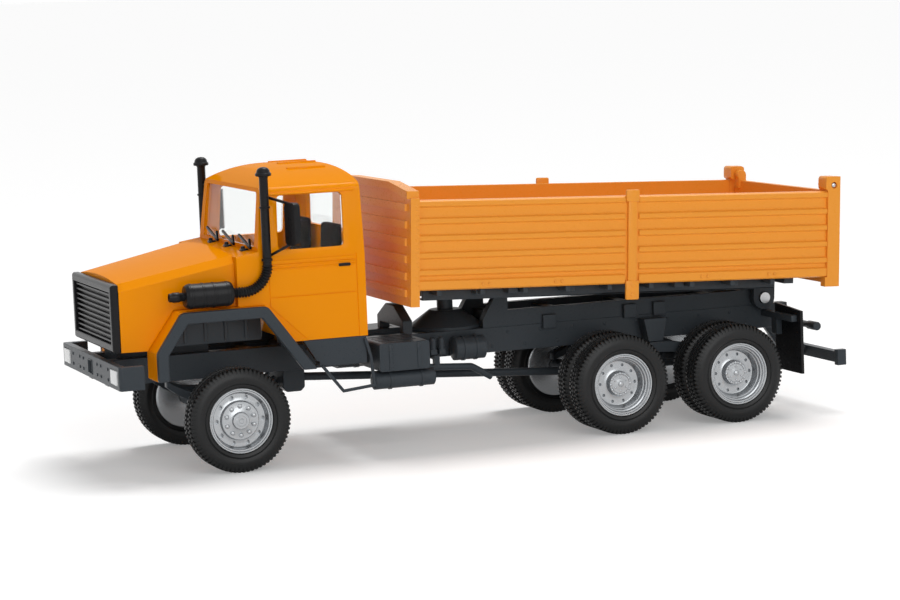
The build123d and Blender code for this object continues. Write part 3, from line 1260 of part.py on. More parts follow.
def tyres(axle_x, rows):
    """Tyres of one axle, both sides, as many-sided rings; rows hold outer face y and width."""
    with BuildPart() as set_of_tyres:
        for outer_y, width in rows:
            for y, radius in (
                (outer_y, BULGE_RADIUS),
                (outer_y - SHOULDER_INSET, TYRE_RADIUS),
                (outer_y - width + SHOULDER_INSET, TYRE_RADIUS),
                (outer_y - width, BULGE_RADIUS),
            ):
                with BuildSketch(side_plane(y)):
                    with Locations((axle_x, AXLE_Z)):
                        RegularPolygon(radius, TREAD_FACETS)
            loft(ruled=True)
            with BuildSketch(side_plane(outer_y)):
                with Locations((axle_x, AXLE_Z)):
                    RegularPolygon(TYRE_BORE, TREAD_FACETS, major_radius=False)
            extrude(amount=width, mode=Mode.SUBTRACT)
        mirror(about=Plane.XZ)
    return set_of_tyres


def rims(axle_x, lip_y, section, web_depth, vent_radius):
    """Both rims of one axle, turned from a section of depth and radius, with a ring of blind vents."""
    with BuildPart() as pair:
        with BuildSketch(axle_plane(axle_x)):
            Polygon(*[(lip_y - depth, radius) for depth, radius in section], align=None)
        revolve(axis=axle_line(axle_x))
        with BuildSketch(side_plane(lip_y - web_depth)):
            with Locations((axle_x, AXLE_Z)):
                with PolarLocations(VENT_RING, VENT_COUNT):
                    RegularPolygon(vent_radius, VENT_SIDES)
        extrude(amount=VENT_DEPTH, mode=Mode.SUBTRACT)
        mirror(about=Plane.XZ)
    return pair


def axle_rod(axle_x, lip_y, web_depth):
    """Plain rod whose ends sit in the rim sockets."""
    with BuildPart() as rod:
        with Locations(Location((axle_x, 0, AXLE_Z), (90, 0, 0))):
            Cylinder(AXLE_ROD_RADIUS, 2 * (lip_y - web_depth - SEAT_GAP))
    return rod


# Rim sections, as depth behind the lip and radius
FRONT_RIM = (
    (0, RIM_RADIUS),
    (0, RIM_RADIUS - RIM_LIP),
    (FRONT_DISH, WEB_RADIUS),
    (FRONT_DISH, DISC_RADIUS),
    (DISC_DEPTH, DISC_RADIUS),
    (DISC_DEPTH, HUB_RADIUS),
    (-HUB_PROUD, HUB_RADIUS),
    (-HUB_PROUD, 0),
    (FRONT_SOCKET, 0),
    (FRONT_SOCKET, ROD_HOLE),
    (FRONT_BARREL, ROD_HOLE),
    (FRONT_BARREL, RIM_RADIUS),
)
REAR_RIM = (
    (0, RIM_RADIUS),
    (0, RIM_RADIUS - RIM_LIP),
    (REAR_DISH, WEB_RADIUS),
    (REAR_DISH, DRUM_RADIUS),
    (DRUM_DEPTH, DRUM_RADIUS),
    (DRUM_DEPTH, 0),
    (REAR_SOCKET, 0),
    (REAR_SOCKET, ROD_HOLE),
    (REAR_BARREL, ROD_HOLE),
    (REAR_BARREL, RIM_RADIUS),
)
TWIN_ROWS = (
    (REAR_TYRE_OUT, REAR_TYRE_WIDTH),
    (REAR_TYRE_OUT - REAR_TYRE_WIDTH - TWIN_GAP, REAR_TYRE_WIDTH),
)

front_tyres = tyres(FRONT_AXLE_X, ((FRONT_TYRE_OUT, FRONT_TYRE_WIDTH),))
front_rims = rims(FRONT_AXLE_X, FRONT_LIP_Y, FRONT_RIM, FRONT_DISH, FRONT_VENT_RADIUS)
front_axle_rod = axle_rod(FRONT_AXLE_X, FRONT_LIP_Y, FRONT_SOCKET)
middle_tyres = tyres(MIDDLE_AXLE_X, TWIN_ROWS)
middle_rims = rims(MIDDLE_AXLE_X, REAR_LIP_Y, REAR_RIM, REAR_DISH, REAR_VENT_RADIUS)
middle_axle_rod = axle_rod(MIDDLE_AXLE_X, REAR_LIP_Y, REAR_SOCKET)
rear_tyres = tyres(LAST_AXLE_X, TWIN_ROWS)
rear_rims = rims(LAST_AXLE_X, REAR_LIP_Y, REAR_RIM, REAR_DISH, REAR_VENT_RADIUS)
rear_axle_rod = axle_rod(LAST_AXLE_X, REAR_LIP_Y, REAR_SOCKET)

PIECES = {
    "frame_rails": frame_rails,
    "crossmembers": crossmembers,
    "front_bumper": front_bumper,
    "headlamps": headlamps,
    "bonnet": bonnet,
    "grille_frame": grille_frame,
    "grille_slats": grille_slats,
    "cab_shell": cab_shell,
    "cab_glazing": cab_glazing,
    "seats": seats,
    "dashboard": dashboard,
    "steering_wheel": steering_wheel,
    "cab_mounts": cab_mounts,
    "front_fenders": front_fenders,
    "arch_flares": arch_flares,
    "sill_panels": sill_panels,
    "step_loops": step_loops,
    "air_intakes": air_intakes,
    "mirrors": mirrors,
    "wipers": wipers,
    "door_handles": door_handles,
    "engine_block": engine_block,
    "transfer_case": transfer_case,
    "front_axle_housing": front_axle_housing,
    "rear_axle_housings": rear_axle_housings,
    "propshafts": propshafts,
    "leaf_springs": leaf_springs,
    "bogie_brackets": bogie_brackets,
    "tipper_subframe": tipper_subframe,
    "tip_shaft": tip_shaft,
    "subframe_clips": subframe_clips,
    "ram_dish": ram_dish,
    "ram_cradle": ram_cradle,
    "battery_box": battery_box,
    "air_tank": air_tank,
    "rail_tanks": rail_tanks,
    "exhaust_pipe": exhaust_pipe,
    "fuel_tank": fuel_tank,
    "mud_flaps": mud_flaps,
    "rear_brackets": rear_brackets,
    "underrun_bar": underrun_bar,
    "rear_lamps": rear_lamps,
    "bed_floor": bed_floor,
    "bed_underframe": bed_underframe,
    "headboard": headboard,
    "side_wall_left": side_wall_left,
    "side_wall_right": side_wall_right,
    "bed_stakes": bed_stakes,
    "corner_posts": corner_posts,
    "tailgate": tailgate,
    "front_tyres": front_tyres,
    "front_rims": front_rims,
    "front_axle_rod": front_axle_rod,
    "middle_tyres": middle_tyres,
    "middle_rims": middle_rims,
    "middle_axle_rod": middle_axle_rod,
    "rear_tyres": rear_tyres,
    "rear_rims": rear_rims,
    "rear_axle_rod": rear_axle_rod,
}

os.makedirs("parts", exist_ok=True)
for label, piece in PIECES.items():
    piece.part.label = label
    export_step(piece.part, f"parts/{label}.step")
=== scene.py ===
"""Looks of a 1:87 bonneted tipper truck model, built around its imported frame.

Lengths are in metres in the frame of the part: +X is the nose, +Y the driver's left and
+Z up. Sizes that are easier to read in millimetres are written with the MM factor.
"""

import json
import logging
import math
from dataclasses import dataclass, field
from enum import Enum

import bmesh
import bpy
from mathutils import Matrix, Vector

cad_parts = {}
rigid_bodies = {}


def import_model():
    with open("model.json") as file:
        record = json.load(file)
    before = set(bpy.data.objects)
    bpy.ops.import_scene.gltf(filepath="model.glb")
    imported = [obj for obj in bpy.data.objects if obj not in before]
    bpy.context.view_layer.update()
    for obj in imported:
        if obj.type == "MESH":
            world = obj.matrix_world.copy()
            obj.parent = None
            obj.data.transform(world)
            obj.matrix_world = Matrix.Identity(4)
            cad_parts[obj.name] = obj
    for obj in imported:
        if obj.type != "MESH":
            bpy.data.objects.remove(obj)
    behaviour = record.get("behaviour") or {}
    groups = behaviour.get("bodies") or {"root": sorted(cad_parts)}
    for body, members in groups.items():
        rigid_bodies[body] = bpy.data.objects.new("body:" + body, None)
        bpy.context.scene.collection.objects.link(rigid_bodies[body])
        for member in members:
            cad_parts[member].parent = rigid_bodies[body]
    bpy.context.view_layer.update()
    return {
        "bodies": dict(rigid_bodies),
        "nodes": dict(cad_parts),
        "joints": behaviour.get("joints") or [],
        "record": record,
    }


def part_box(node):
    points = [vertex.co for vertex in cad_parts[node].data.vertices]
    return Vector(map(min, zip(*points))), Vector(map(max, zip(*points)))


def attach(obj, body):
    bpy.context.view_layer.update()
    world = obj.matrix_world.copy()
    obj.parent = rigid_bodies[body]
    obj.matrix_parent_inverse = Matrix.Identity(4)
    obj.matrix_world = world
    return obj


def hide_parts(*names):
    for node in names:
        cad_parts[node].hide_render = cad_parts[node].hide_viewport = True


LOG = logging.getLogger("tipper")
MM = 0.001
SIDES = (1, -1)
MERGE_REACH = 0.0006 * MM

Form = bmesh.types.BMesh
Triple = tuple[float, float, float]
Outline = tuple[tuple[float, float], ...]


class Recipe(Enum):
    """Kinds of surface, each with its own way of wiring a material."""

    MOULDED = "moulded"
    CLEAR = "clear"


class WheelKind(Enum):
    """How a wheel is dished."""

    FRONT = "front"
    TWIN = "twin"


@dataclass(frozen=True)
class Finish:
    """One finish of the model.

    Args:
        name: Plain name of the material.
        slot: Material slot of the record that the finish belongs to.
        color: Linear base colour.
        roughness: Middle roughness of the surface.
        recipe: How the material is wired.
        metallic: Share of metal in the reflection.
        coat: Weight of a clear gloss layer.
        gloss: Strength of the mirror-like reflection, 0.5 for common plastic.
        tone: How far the colour drifts over the surface, as a share.
        grain: Depth of the fine mould texture.
        grain_scale: Texture cells in a metre.
        speck: Share of tiny glossy specks in the surface.
    """

    name: str
    slot: str
    color: Triple
    roughness: float
    recipe: Recipe = Recipe.MOULDED
    metallic: float = 0.0
    coat: float = 0.0
    gloss: float = 0.4
    tone: float = 0.06
    grain: float = 0.004 * MM
    grain_scale: float = 4200.0
    speck: float = 0.1


CAB_ORANGE = Finish(
    "cab_orange",
    "cab_orange",
    (0.88, 0.285, 0.001),
    0.2,
    coat=0.14,
    gloss=0.0,
    tone=0.04,
    grain=0.0006 * MM,
    speck=0.05,
)
BED_ORANGE = Finish(
    "bed_orange", "bed_orange", (0.85, 0.318, 0.034), 0.34, gloss=0.2, tone=0.05, grain=0.006 * MM, speck=0.6
)
CHASSIS_GREY = Finish(
    "chassis_grey", "chassis_grey", (0.042, 0.050, 0.058), 0.33, gloss=0.12, tone=0.16, speck=0.3
)
TRIM_BLACK = Finish("trim_black", "trim_black", (0.008, 0.008, 0.009), 0.3, gloss=0.16, tone=0.12, speck=0.2)
TYRE_BLACK = Finish(
    "tyre_black",
    "tyre_black",
    (0.013, 0.0135, 0.014),
    0.36,
    gloss=0.22,
    tone=0.22,
    grain=0.008 * MM,
    speck=0.3,
)
RIM_SILVER = Finish(
    "rim_silver", "rim_silver", (0.40, 0.415, 0.43), 0.26, metallic=0.8, tone=0.08, speck=0.2
)
CAB_LINING = Finish("cab_lining", "trim_black", (0.006, 0.006, 0.006), 0.75, gloss=0.12, tone=0.2)
AXLE_STEEL = Finish("axle_steel", "axle_steel", (0.5, 0.51, 0.52), 0.3, metallic=0.9, tone=0.1)
GLAZING = Finish("glazing", "glazing", (0.96, 0.97, 0.965), 0.02, Recipe.CLEAR, tone=0.5)
LAMP_LENS = Finish("lamp_lens", "lamp_lens", (0.66, 0.67, 0.67), 0.1, coat=0.7, grain=0.001 * MM)
FINISHES = (
    CAB_ORANGE,
    BED_ORANGE,
    CHASSIS_GREY,
    TRIM_BLACK,
    TYRE_BLACK,
    RIM_SILVER,
    AXLE_STEEL,
    GLAZING,
    LAMP_LENS,
)


class MaterialShop:
    """Makes each material once and hands it out by finish."""

    DRIFT_SCALE = 90.0
    FLECK_SCALE = 5200.0
    FLECK_EDGES = (0.58, 0.72)
    COAT_ROUGHNESS = 0.06
    CLEAR_IOR = 1.12

    def __init__(self) -> None:
        self.moulded_group = self.make_moulded_group()
        self.made: dict[str, bpy.types.Material] = {}

    def make_moulded_group(self) -> bpy.types.NodeTree:
        """Wire the shared surface of moulded pieces.

        Returns:
            A node group that puts out a drifting colour, a specked roughness and a grained normal.
        """
        tree = bpy.data.node_groups.new("moulded_surface", "ShaderNodeTree")
        sockets = (
            ("Color", "NodeSocketColor", "INPUT"),
            ("Tone", "NodeSocketFloat", "INPUT"),
            ("Roughness", "NodeSocketFloat", "INPUT"),
            ("Speck", "NodeSocketFloat", "INPUT"),
            ("Grain Scale", "NodeSocketFloat", "INPUT"),
            ("Grain Depth", "NodeSocketFloat", "INPUT"),
            ("Color", "NodeSocketColor", "OUTPUT"),
            ("Roughness", "NodeSocketFloat", "OUTPUT"),
            ("Normal", "NodeSocketVector", "OUTPUT"),
        )
        for name, kind, way in sockets:
            tree.interface.new_socket(name, in_out=way, socket_type=kind)
        nodes, links = tree.nodes, tree.links
        inputs = nodes.new("NodeGroupInput")
        outputs = nodes.new("NodeGroupOutput")
        place = nodes.new("ShaderNodeTexCoord")

        def noise(scale: float, detail: float) -> bpy.types.Node:
            """Add a noise texture on the piece's own coordinates."""
            node = nodes.new("ShaderNodeTexNoise")
            node.inputs["Scale"].default_value = scale
            node.inputs["Detail"].default_value = detail
            links.new(place.outputs["Object"], node.inputs["Vector"])
            return node

        def math_node(operation: str, *values: object) -> bpy.types.NodeSocket:
            """Add a math node fed by sockets and plain numbers, and give its output."""
            node = nodes.new("ShaderNodeMath")
            node.operation = operation
            for socket, value in zip(node.inputs, values):
                if isinstance(value, (int, float)):
                    socket.default_value = value
                else:
                    links.new(value, socket)
            return node.outputs[0]

        drift = noise(self.DRIFT_SCALE, 5.0)
        spread = math_node("SUBTRACT", drift.outputs["Fac"], 0.5)
        amount = math_node("MULTIPLY_ADD", spread, inputs.outputs["Tone"], 1.0)
        shade = nodes.new("ShaderNodeVectorMath")
        shade.operation = "SCALE"
        links.new(inputs.outputs["Color"], shade.inputs[0])
        links.new(amount, shade.inputs["Scale"])
        links.new(shade.outputs[0], outputs.inputs["Color"])
        flecks = nodes.new("ShaderNodeMapRange")
        flecks.inputs["From Min"].default_value = self.FLECK_EDGES[0]
        flecks.inputs["From Max"].default_value = self.FLECK_EDGES[1]
        links.new(noise(self.FLECK_SCALE, 2.0).outputs["Fac"], flecks.inputs["Value"])
        polish = math_node("MULTIPLY", flecks.outputs["Result"], inputs.outputs["Speck"])
        duller = math_node("SUBTRACT", 1.0, polish)
        drifted = math_node("MULTIPLY", inputs.outputs["Roughness"], amount)
        links.new(math_node("MULTIPLY", drifted, duller), outputs.inputs["Roughness"])
        grain = noise(1.0, 3.0)
        links.new(inputs.outputs["Grain Scale"], grain.inputs["Scale"])
        bump = nodes.new("ShaderNodeBump")
        bump.inputs["Strength"].default_value = 1.0
        links.new(grain.outputs["Fac"], bump.inputs["Height"])
        links.new(inputs.outputs["Grain Depth"], bump.inputs["Distance"])
        links.new(bump.outputs["Normal"], outputs.inputs["Normal"])
        return tree

    def material(self, finish: Finish) -> bpy.types.Material:
        """Give the material of a finish, made on first use.

        Args:
            finish: The finish to make.

        Returns:
            The Blender material.
        """
        if finish.name not in self.made:
            material = bpy.data.materials.new(finish.name)
            material.use_nodes = True
            self.wire_surface(material, finish)
            if finish.recipe is Recipe.CLEAR:
                self.let_light_through(material)
            self.made[finish.name] = material
        return self.made[finish.name]

    def wire_surface(self, material: bpy.types.Material, finish: Finish) -> None:
        """Feed the shader from the shared surface group.

        Args:
            material: The material to wire.
            finish: Its values.
        """
        nodes, links = material.node_tree.nodes, material.node_tree.links
        shader = nodes["Principled BSDF"]
        shader.inputs["Metallic"].default_value = finish.metallic
        shader.inputs["Coat Weight"].default_value = finish.coat
        shader.inputs["Specular IOR Level"].default_value = finish.gloss
        shader.inputs["Coat Roughness"].default_value = self.COAT_ROUGHNESS
        surface = nodes.new("ShaderNodeGroup")
        surface.node_tree = self.moulded_group
        surface.inputs["Color"].default_value = (*finish.color, 1.0)
        surface.inputs["Tone"].default_value = finish.tone
        surface.inputs["Roughness"].default_value = finish.roughness
        surface.inputs["Speck"].default_value = finish.speck
        surface.inputs["Grain Scale"].default_value = finish.grain_scale
        surface.inputs["Grain Depth"].default_value = finish.grain
        links.new(surface.outputs["Roughness"], shader.inputs["Roughness"])
        if finish.recipe is Recipe.CLEAR:
            shader.inputs["Base Color"].default_value = (*finish.color, 1.0)
            shader.inputs["Transmission Weight"].default_value = 1.0
            shader.inputs["IOR"].default_value = self.CLEAR_IOR
            return
        links.new(surface.outputs["Color"], shader.inputs["Base Color"])
        links.new(surface.outputs["Normal"], shader.inputs["Normal"])

    def let_light_through(self, material: bpy.types.Material) -> None:
        """Let lamps shine through a clear material without casting a shadow."""
        nodes, links = material.node_tree.nodes, material.node_tree.links
        path = nodes.new("ShaderNodeLightPath")
        clear = nodes.new("ShaderNodeBsdfTransparent")
        mix = nodes.new("ShaderNodeMixShader")
        links.new(path.outputs["Is Shadow Ray"], mix.inputs[0])
        links.new(nodes["Principled BSDF"].outputs[0], mix.inputs[1])
        links.new(clear.outputs[0], mix.inputs[2])
        links.new(mix.outputs[0], nodes["Material Output"].inputs["Surface"])


def shade_by_angle(form: Form, limit_degrees: float) -> None:
    """Smooth every face and keep the edges sharp that turn by more than a limit."""
    limit = math.radians(limit_degrees)
    for face in form.faces:
        face.smooth = True
    for edge in form.edges:
        edge.smooth = len(edge.link_faces) == 2 and edge.calc_face_angle(0.0) < limit


def round_edges(form: Form, edges: list, radius: float, segments: int = 2) -> None:
    """Bevel edges to a round profile."""
    bmesh.ops.bevel(
        form,
        geom=edges,
        offset=radius,
        offset_type="OFFSET",
        segments=segments,
        profile=0.5,
        affect="EDGES",
        clamp_overlap=True,
        material=-1,
    )


def merge_close(form: Form, reach: float = MERGE_REACH) -> None:
    """Join the vertices that lie within a reach of each other."""
    bmesh.ops.remove_doubles(form, verts=form.verts[:], dist=reach)


def add_block(form: Form, low: Triple, high: Triple, radius: float = 0.0) -> None:
    """Add a box between two corners, with rounded edges where a radius is given.

    Args:
        form: The mesh to add to.
        low: Lowest corner in millimetres.
        high: Highest corner in millimetres.
        radius: Edge radius in millimetres.
    """
    size = (Vector(high) - Vector(low)) * MM
    middle = (Vector(high) + Vector(low)) * MM / 2
    verts = bmesh.ops.create_cube(form, size=1.0)["verts"]
    bmesh.ops.scale(form, vec=size, verts=verts)
    bmesh.ops.translate(form, vec=middle, verts=verts)
    if radius:
        edges = list({edge for vert in verts for edge in vert.link_edges})
        round_edges(form, edges, radius * MM)


def add_side_block(form: Form, side: int, low: Triple, high: Triple, radius: float = 0.0) -> None:
    """Add a box that is given for the left side, or its mirror image on the right.

    Args:
        form: The mesh to add to.
        side: 1 for the left side and -1 for the right.
        low: Lowest corner on the left side in millimetres.
        high: Highest corner on the left side in millimetres.
        radius: Edge radius in millimetres.
    """
    near, far = sorted((side * low[1], side * high[1]))
    add_block(form, (low[0], near, low[2]), (high[0], far, high[2]), radius)


def add_turned(form: Form, outline: Outline, centre: Triple, axis: Triple, steps: int = 32) -> None:
    """Add a piece turned about an axis line.

    Args:
        form: The mesh to add to.
        outline: Points as place along the axis and radius, in millimetres.
        centre: A point of the axis in millimetres.
        axis: Direction of the axis.
        steps: Facets round the axis.
    """
    along = Vector(axis)
    out = Vector((0, 0, 1)) if abs(along.z) < 0.9 else Vector((1, 0, 0))
    middle = Vector(centre) * MM
    verts = [form.verts.new(middle + along * (at * MM) + out * (radius * MM)) for at, radius in outline]
    edges = [form.edges.new(pair) for pair in zip(verts, verts[1:])]
    bmesh.ops.spin(
        form,
        geom=verts + edges,
        cent=middle,
        axis=along,
        angle=2 * math.pi,
        steps=steps,
        use_merge=True,
    )


def add_bolt(form: Form, seat: Triple, axis: Triple, radius: float, height: float, steps: int = 8) -> None:
    """Add a domed bolt head that stands on a surface.

    Args:
        form: The mesh to add to.
        seat: Middle of the seat in millimetres.
        axis: Direction in which the head stands up.
        radius: Radius of the head in millimetres.
        height: Height of the head in millimetres.
        steps: Facets round the head.
    """
    outline = (
        (-0.1 * height, radius),
        (0.55 * height, radius),
        (0.85 * height, 0.75 * radius),
        (height, 0.35 * radius),
        (height, 0.0),
    )
    add_turned(form, outline, seat, axis, steps)


@dataclass
class Piece:
    """Base of everything that is shown: a mesh that rides on a body and wears a finish."""

    shop: MaterialShop

    def place(self, name: str, form: Form, finish: Finish, body: str, turn: float) -> bpy.types.Object:
        """Shade a finished form and make it an object that rides on a body.

        Args:
            name: Name of the new object.
            form: The mesh, which is freed here.
            finish: What it wears.
            body: The body that it moves with.
            turn: Largest turn between faces that is shaded smooth, in degrees.

        Returns:
            The new object.
        """
        shade_by_angle(form, turn)
        merge_close(form)
        bmesh.ops.recalc_face_normals(form, faces=form.faces[:])
        mesh = bpy.data.meshes.new(name)
        form.to_mesh(mesh)
        form.free()
        piece = bpy.data.objects.new(name, mesh)
        bpy.context.scene.collection.objects.link(piece)
        mesh.materials.append(self.shop.material(finish))
        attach(piece, body)
        LOG.info("built %s", name)
        return piece


@dataclass
class SoftenedShell(Piece):
    """A solid of the frame with its sharp edges rounded, as moulded plastic has them."""

    node: str
    body: str
    finish: Finish
    radius: float
    segments: int = 2

    SEAM_REACH = 0.002 * MM
    FLAT_TURN = math.radians(1.0)
    SHARP_TURN = math.radians(28)
    SMOOTH_DEGREES = 50

    def build(self, source: bpy.types.Object) -> bpy.types.Object:
        """Round the edges of a copy of the solid and let it stand for the solid.

        Args:
            source: The solid's object in the frame.

        Returns:
            The rounded copy.
        """
        form = bmesh.new()
        form.from_mesh(source.data)
        merge_close(form, self.SEAM_REACH)
        bmesh.ops.dissolve_limit(
            form, angle_limit=self.FLAT_TURN, verts=form.verts[:], edges=form.edges[:]
        )
        sharp = [
            edge
            for edge in form.edges
            if len(edge.link_faces) == 2 and edge.calc_face_angle(0.0) > self.SHARP_TURN
        ]
        round_edges(form, sharp, self.radius, self.segments)
        piece = self.place(self.node + "_soft", form, self.finish, self.body, self.SMOOTH_DEGREES)
        weighted = piece.modifiers.new("flat faces", "WEIGHTED_NORMAL")
        weighted.keep_sharp = True
        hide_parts(self.node)
        return piece


@dataclass
class TyreSet(Piece):
    """The tyres of one axle, with rounded sidewalls, shoulder lugs and tread grooves, in millimetres."""

    node: str
    body: str
    width: float
    outer_faces: tuple[float, ...]
    lugs: int = 72
    lug_depth: float = 0.2
    rib_depth: float = 0.07
    bore: float = 3.92
    shoulder: float = 0.93
    rib_edges: tuple[float, float] = (1.49, 1.09)
    tread_reach: float = 0.62
    radius: float = field(init=False, default=0.0)

    SIDEWALL = (
        (0.34, 0.0), (0.20, 0.06), (0.12, 0.24), (0.06, 0.40), (0.12, 0.46), (0.05, 0.52),
        (0.10, 0.60), (0.02, 0.90),
    )
    TREAD = (
        (0.0, 1.12), (0.05, 0.84), (0.16, 0.60), (0.30, 0.26), (0.42, 0.07), (0.54, 0.0),
        (0.92, 0.0), (0.95, 0.16), (1.07, 0.16), (1.10, 0.0), (1.48, 0.0), (1.51, 0.16),
    )

    def section(self) -> Outline:
        """Give a tyre's whole section, from bead to bead, as offset from its middle and radius."""
        edge = self.width / 2
        half = [(edge - inset, self.bore + rise) for inset, rise in self.SIDEWALL]
        half += [(edge - inset, self.radius - drop) for inset, drop in self.TREAD]
        ring = half + [(-offset, radius) for offset, radius in reversed(half)]
        return (*ring, ring[0])

    def build(self) -> bpy.types.Object:
        """Spin the sections, cut the lugs and let the result stand for the solids.

        Returns:
            The tyres of the axle as one object.
        """
        low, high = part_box(self.node)
        axle = (low + high) / (2 * MM)
        self.radius = (high.z - low.z) / (2 * MM)
        form = bmesh.new()
        for outer in self.outer_faces:
            for side in SIDES:
                self.add_tyre(form, (axle.x, side * (outer - self.width / 2), axle.z))
        merge_close(form)
        piece = self.place(self.node + "_treaded", form, TYRE_BLACK, self.body, 32)
        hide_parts(self.node)
        return piece

    def add_tyre(self, form: Form, centre: Triple) -> None:
        """Add one tyre to the form, about its own middle."""
        edge = self.width / 2
        ribs = (edge - self.rib_edges[0], edge - self.rib_edges[1])
        before = set(form.faces)
        add_turned(form, self.section(), centre, (0, 1, 0), 2 * self.lugs)
        faces = [face for face in form.faces if face not in before]
        self.sink(form, faces, centre, (edge - self.shoulder, edge), self.lug_depth, 0)
        self.sink(form, faces, centre, ribs, self.rib_depth, 1)

    def sink(
        self, form: Form, faces: list, centre: Triple, band: tuple[float, float], depth: float, start: int
    ) -> None:
        """Sink every second column of a tread band, so that blocks stand between.

        Args:
            form: The mesh that holds the faces.
            faces: Faces of one tyre.
            centre: Middle of the tyre.
            band: Nearest and furthest offset from the tyre's middle.
            depth: How far the columns sink.
            start: Whether the even or the odd columns sink.
        """
        pitch = math.pi / self.lugs
        hub = Vector(centre)
        sunk = []
        for face in faces:
            if not face.is_valid:
                continue
            arm = face.calc_center_median() / MM - hub
            column = round((math.atan2(arm.z, arm.x) + math.pi) / pitch - 0.5)
            on_tread = math.hypot(arm.x, arm.z) > self.radius - self.tread_reach
            if on_tread and band[0] < abs(arm.y) < band[1] and column % 2 == start:
                sunk.append(face)
        result = bmesh.ops.extrude_face_region(form, geom=sunk)
        bmesh.ops.delete(form, geom=sunk, context="FACES_ONLY")
        for vert in (item for item in result["geom"] if isinstance(item, bmesh.types.BMVert)):
            radial = vert.co - hub * MM
            radial.y = 0
            vert.co -= radial.normalized() * (depth * MM)


@dataclass(frozen=True)
class BoltRing:
    """A circle of bolt heads about a hub, in millimetres.

    Args:
        depth: Place of the seats along the axle, from the lip.
        ring: Radius of the circle.
        count: Number of heads.
        radius: Radius of a head.
        height: Height of a head.
        steps: Facets round a head.
    """

    depth: float
    ring: float
    count: int
    radius: float
    height: float
    steps: int = 8


@dataclass(frozen=True)
class RimPattern:
    """Shape of one kind of rim, in millimetres from the plane of its lip.

    Args:
        depth: Depth of the barrel.
        socket: Depth at which the bore of the axle rod ends.
        web_depth: Depth of the web that has the holes.
        web_radii: Inner, middle and outer radius of the web.
        vent_radius: Radius of a hole.
        bolts: Circles of nuts, and the cap of the hub.
        face: Outline of the visible face as depth and radius, from the lip to the hub.
    """

    depth: float
    socket: float
    web_depth: float
    web_radii: Triple
    vent_radius: float
    bolts: tuple[BoltRing, ...]
    face: Outline


RIM_PATTERNS = {
    WheelKind.FRONT: RimPattern(
        3.2,
        0.55,
        0.95,
        (2.46, 2.82, 3.16),
        0.31,
        (BoltRing(-0.46, 1.74, 10, 0.27, 0.3),),
        (
            (-0.60, 3.35), (-0.86, 3.24), (-0.95, 3.16), (-0.95, 2.82), (-0.95, 2.46),
            (-0.90, 2.36), (-0.54, 2.30), (-0.45, 2.22), (-0.45, 1.16), (-0.38, 1.04),
            (-0.02, 0.98), (0.04, 0.92), (0.04, 0.66), (0.10, 0.58), (0.10, 0.30), (0.03, 0.24),
            (0.03, 0.0),
        ),
    ),
    WheelKind.TWIN: RimPattern(
        6.7,
        1.35,
        1.95,
        (2.04, 2.34, 2.64),
        0.2,
        (
            BoltRing(-1.0, 1.31, 12, 0.17, 0.14),
            BoltRing(-0.92, 0.85, 6, 0.13, 0.12),
            BoltRing(-0.9, 0.0, 1, 0.34, 0.26, 12),
        ),
        (
            (-0.42, 3.34), (-0.50, 3.20), (-0.86, 3.12), (-0.94, 3.02), (-1.70, 2.84),
            (-1.92, 2.74), (-1.95, 2.64), (-1.95, 2.34), (-1.95, 2.04), (-1.95, 1.66),
            (-1.88, 1.54), (-1.10, 1.46), (-1.00, 1.40), (-1.00, 1.22), (-0.92, 1.12),
            (-0.92, 0.58), (-0.90, 0.52), (-0.90, 0.0),
        ),
    ),
}


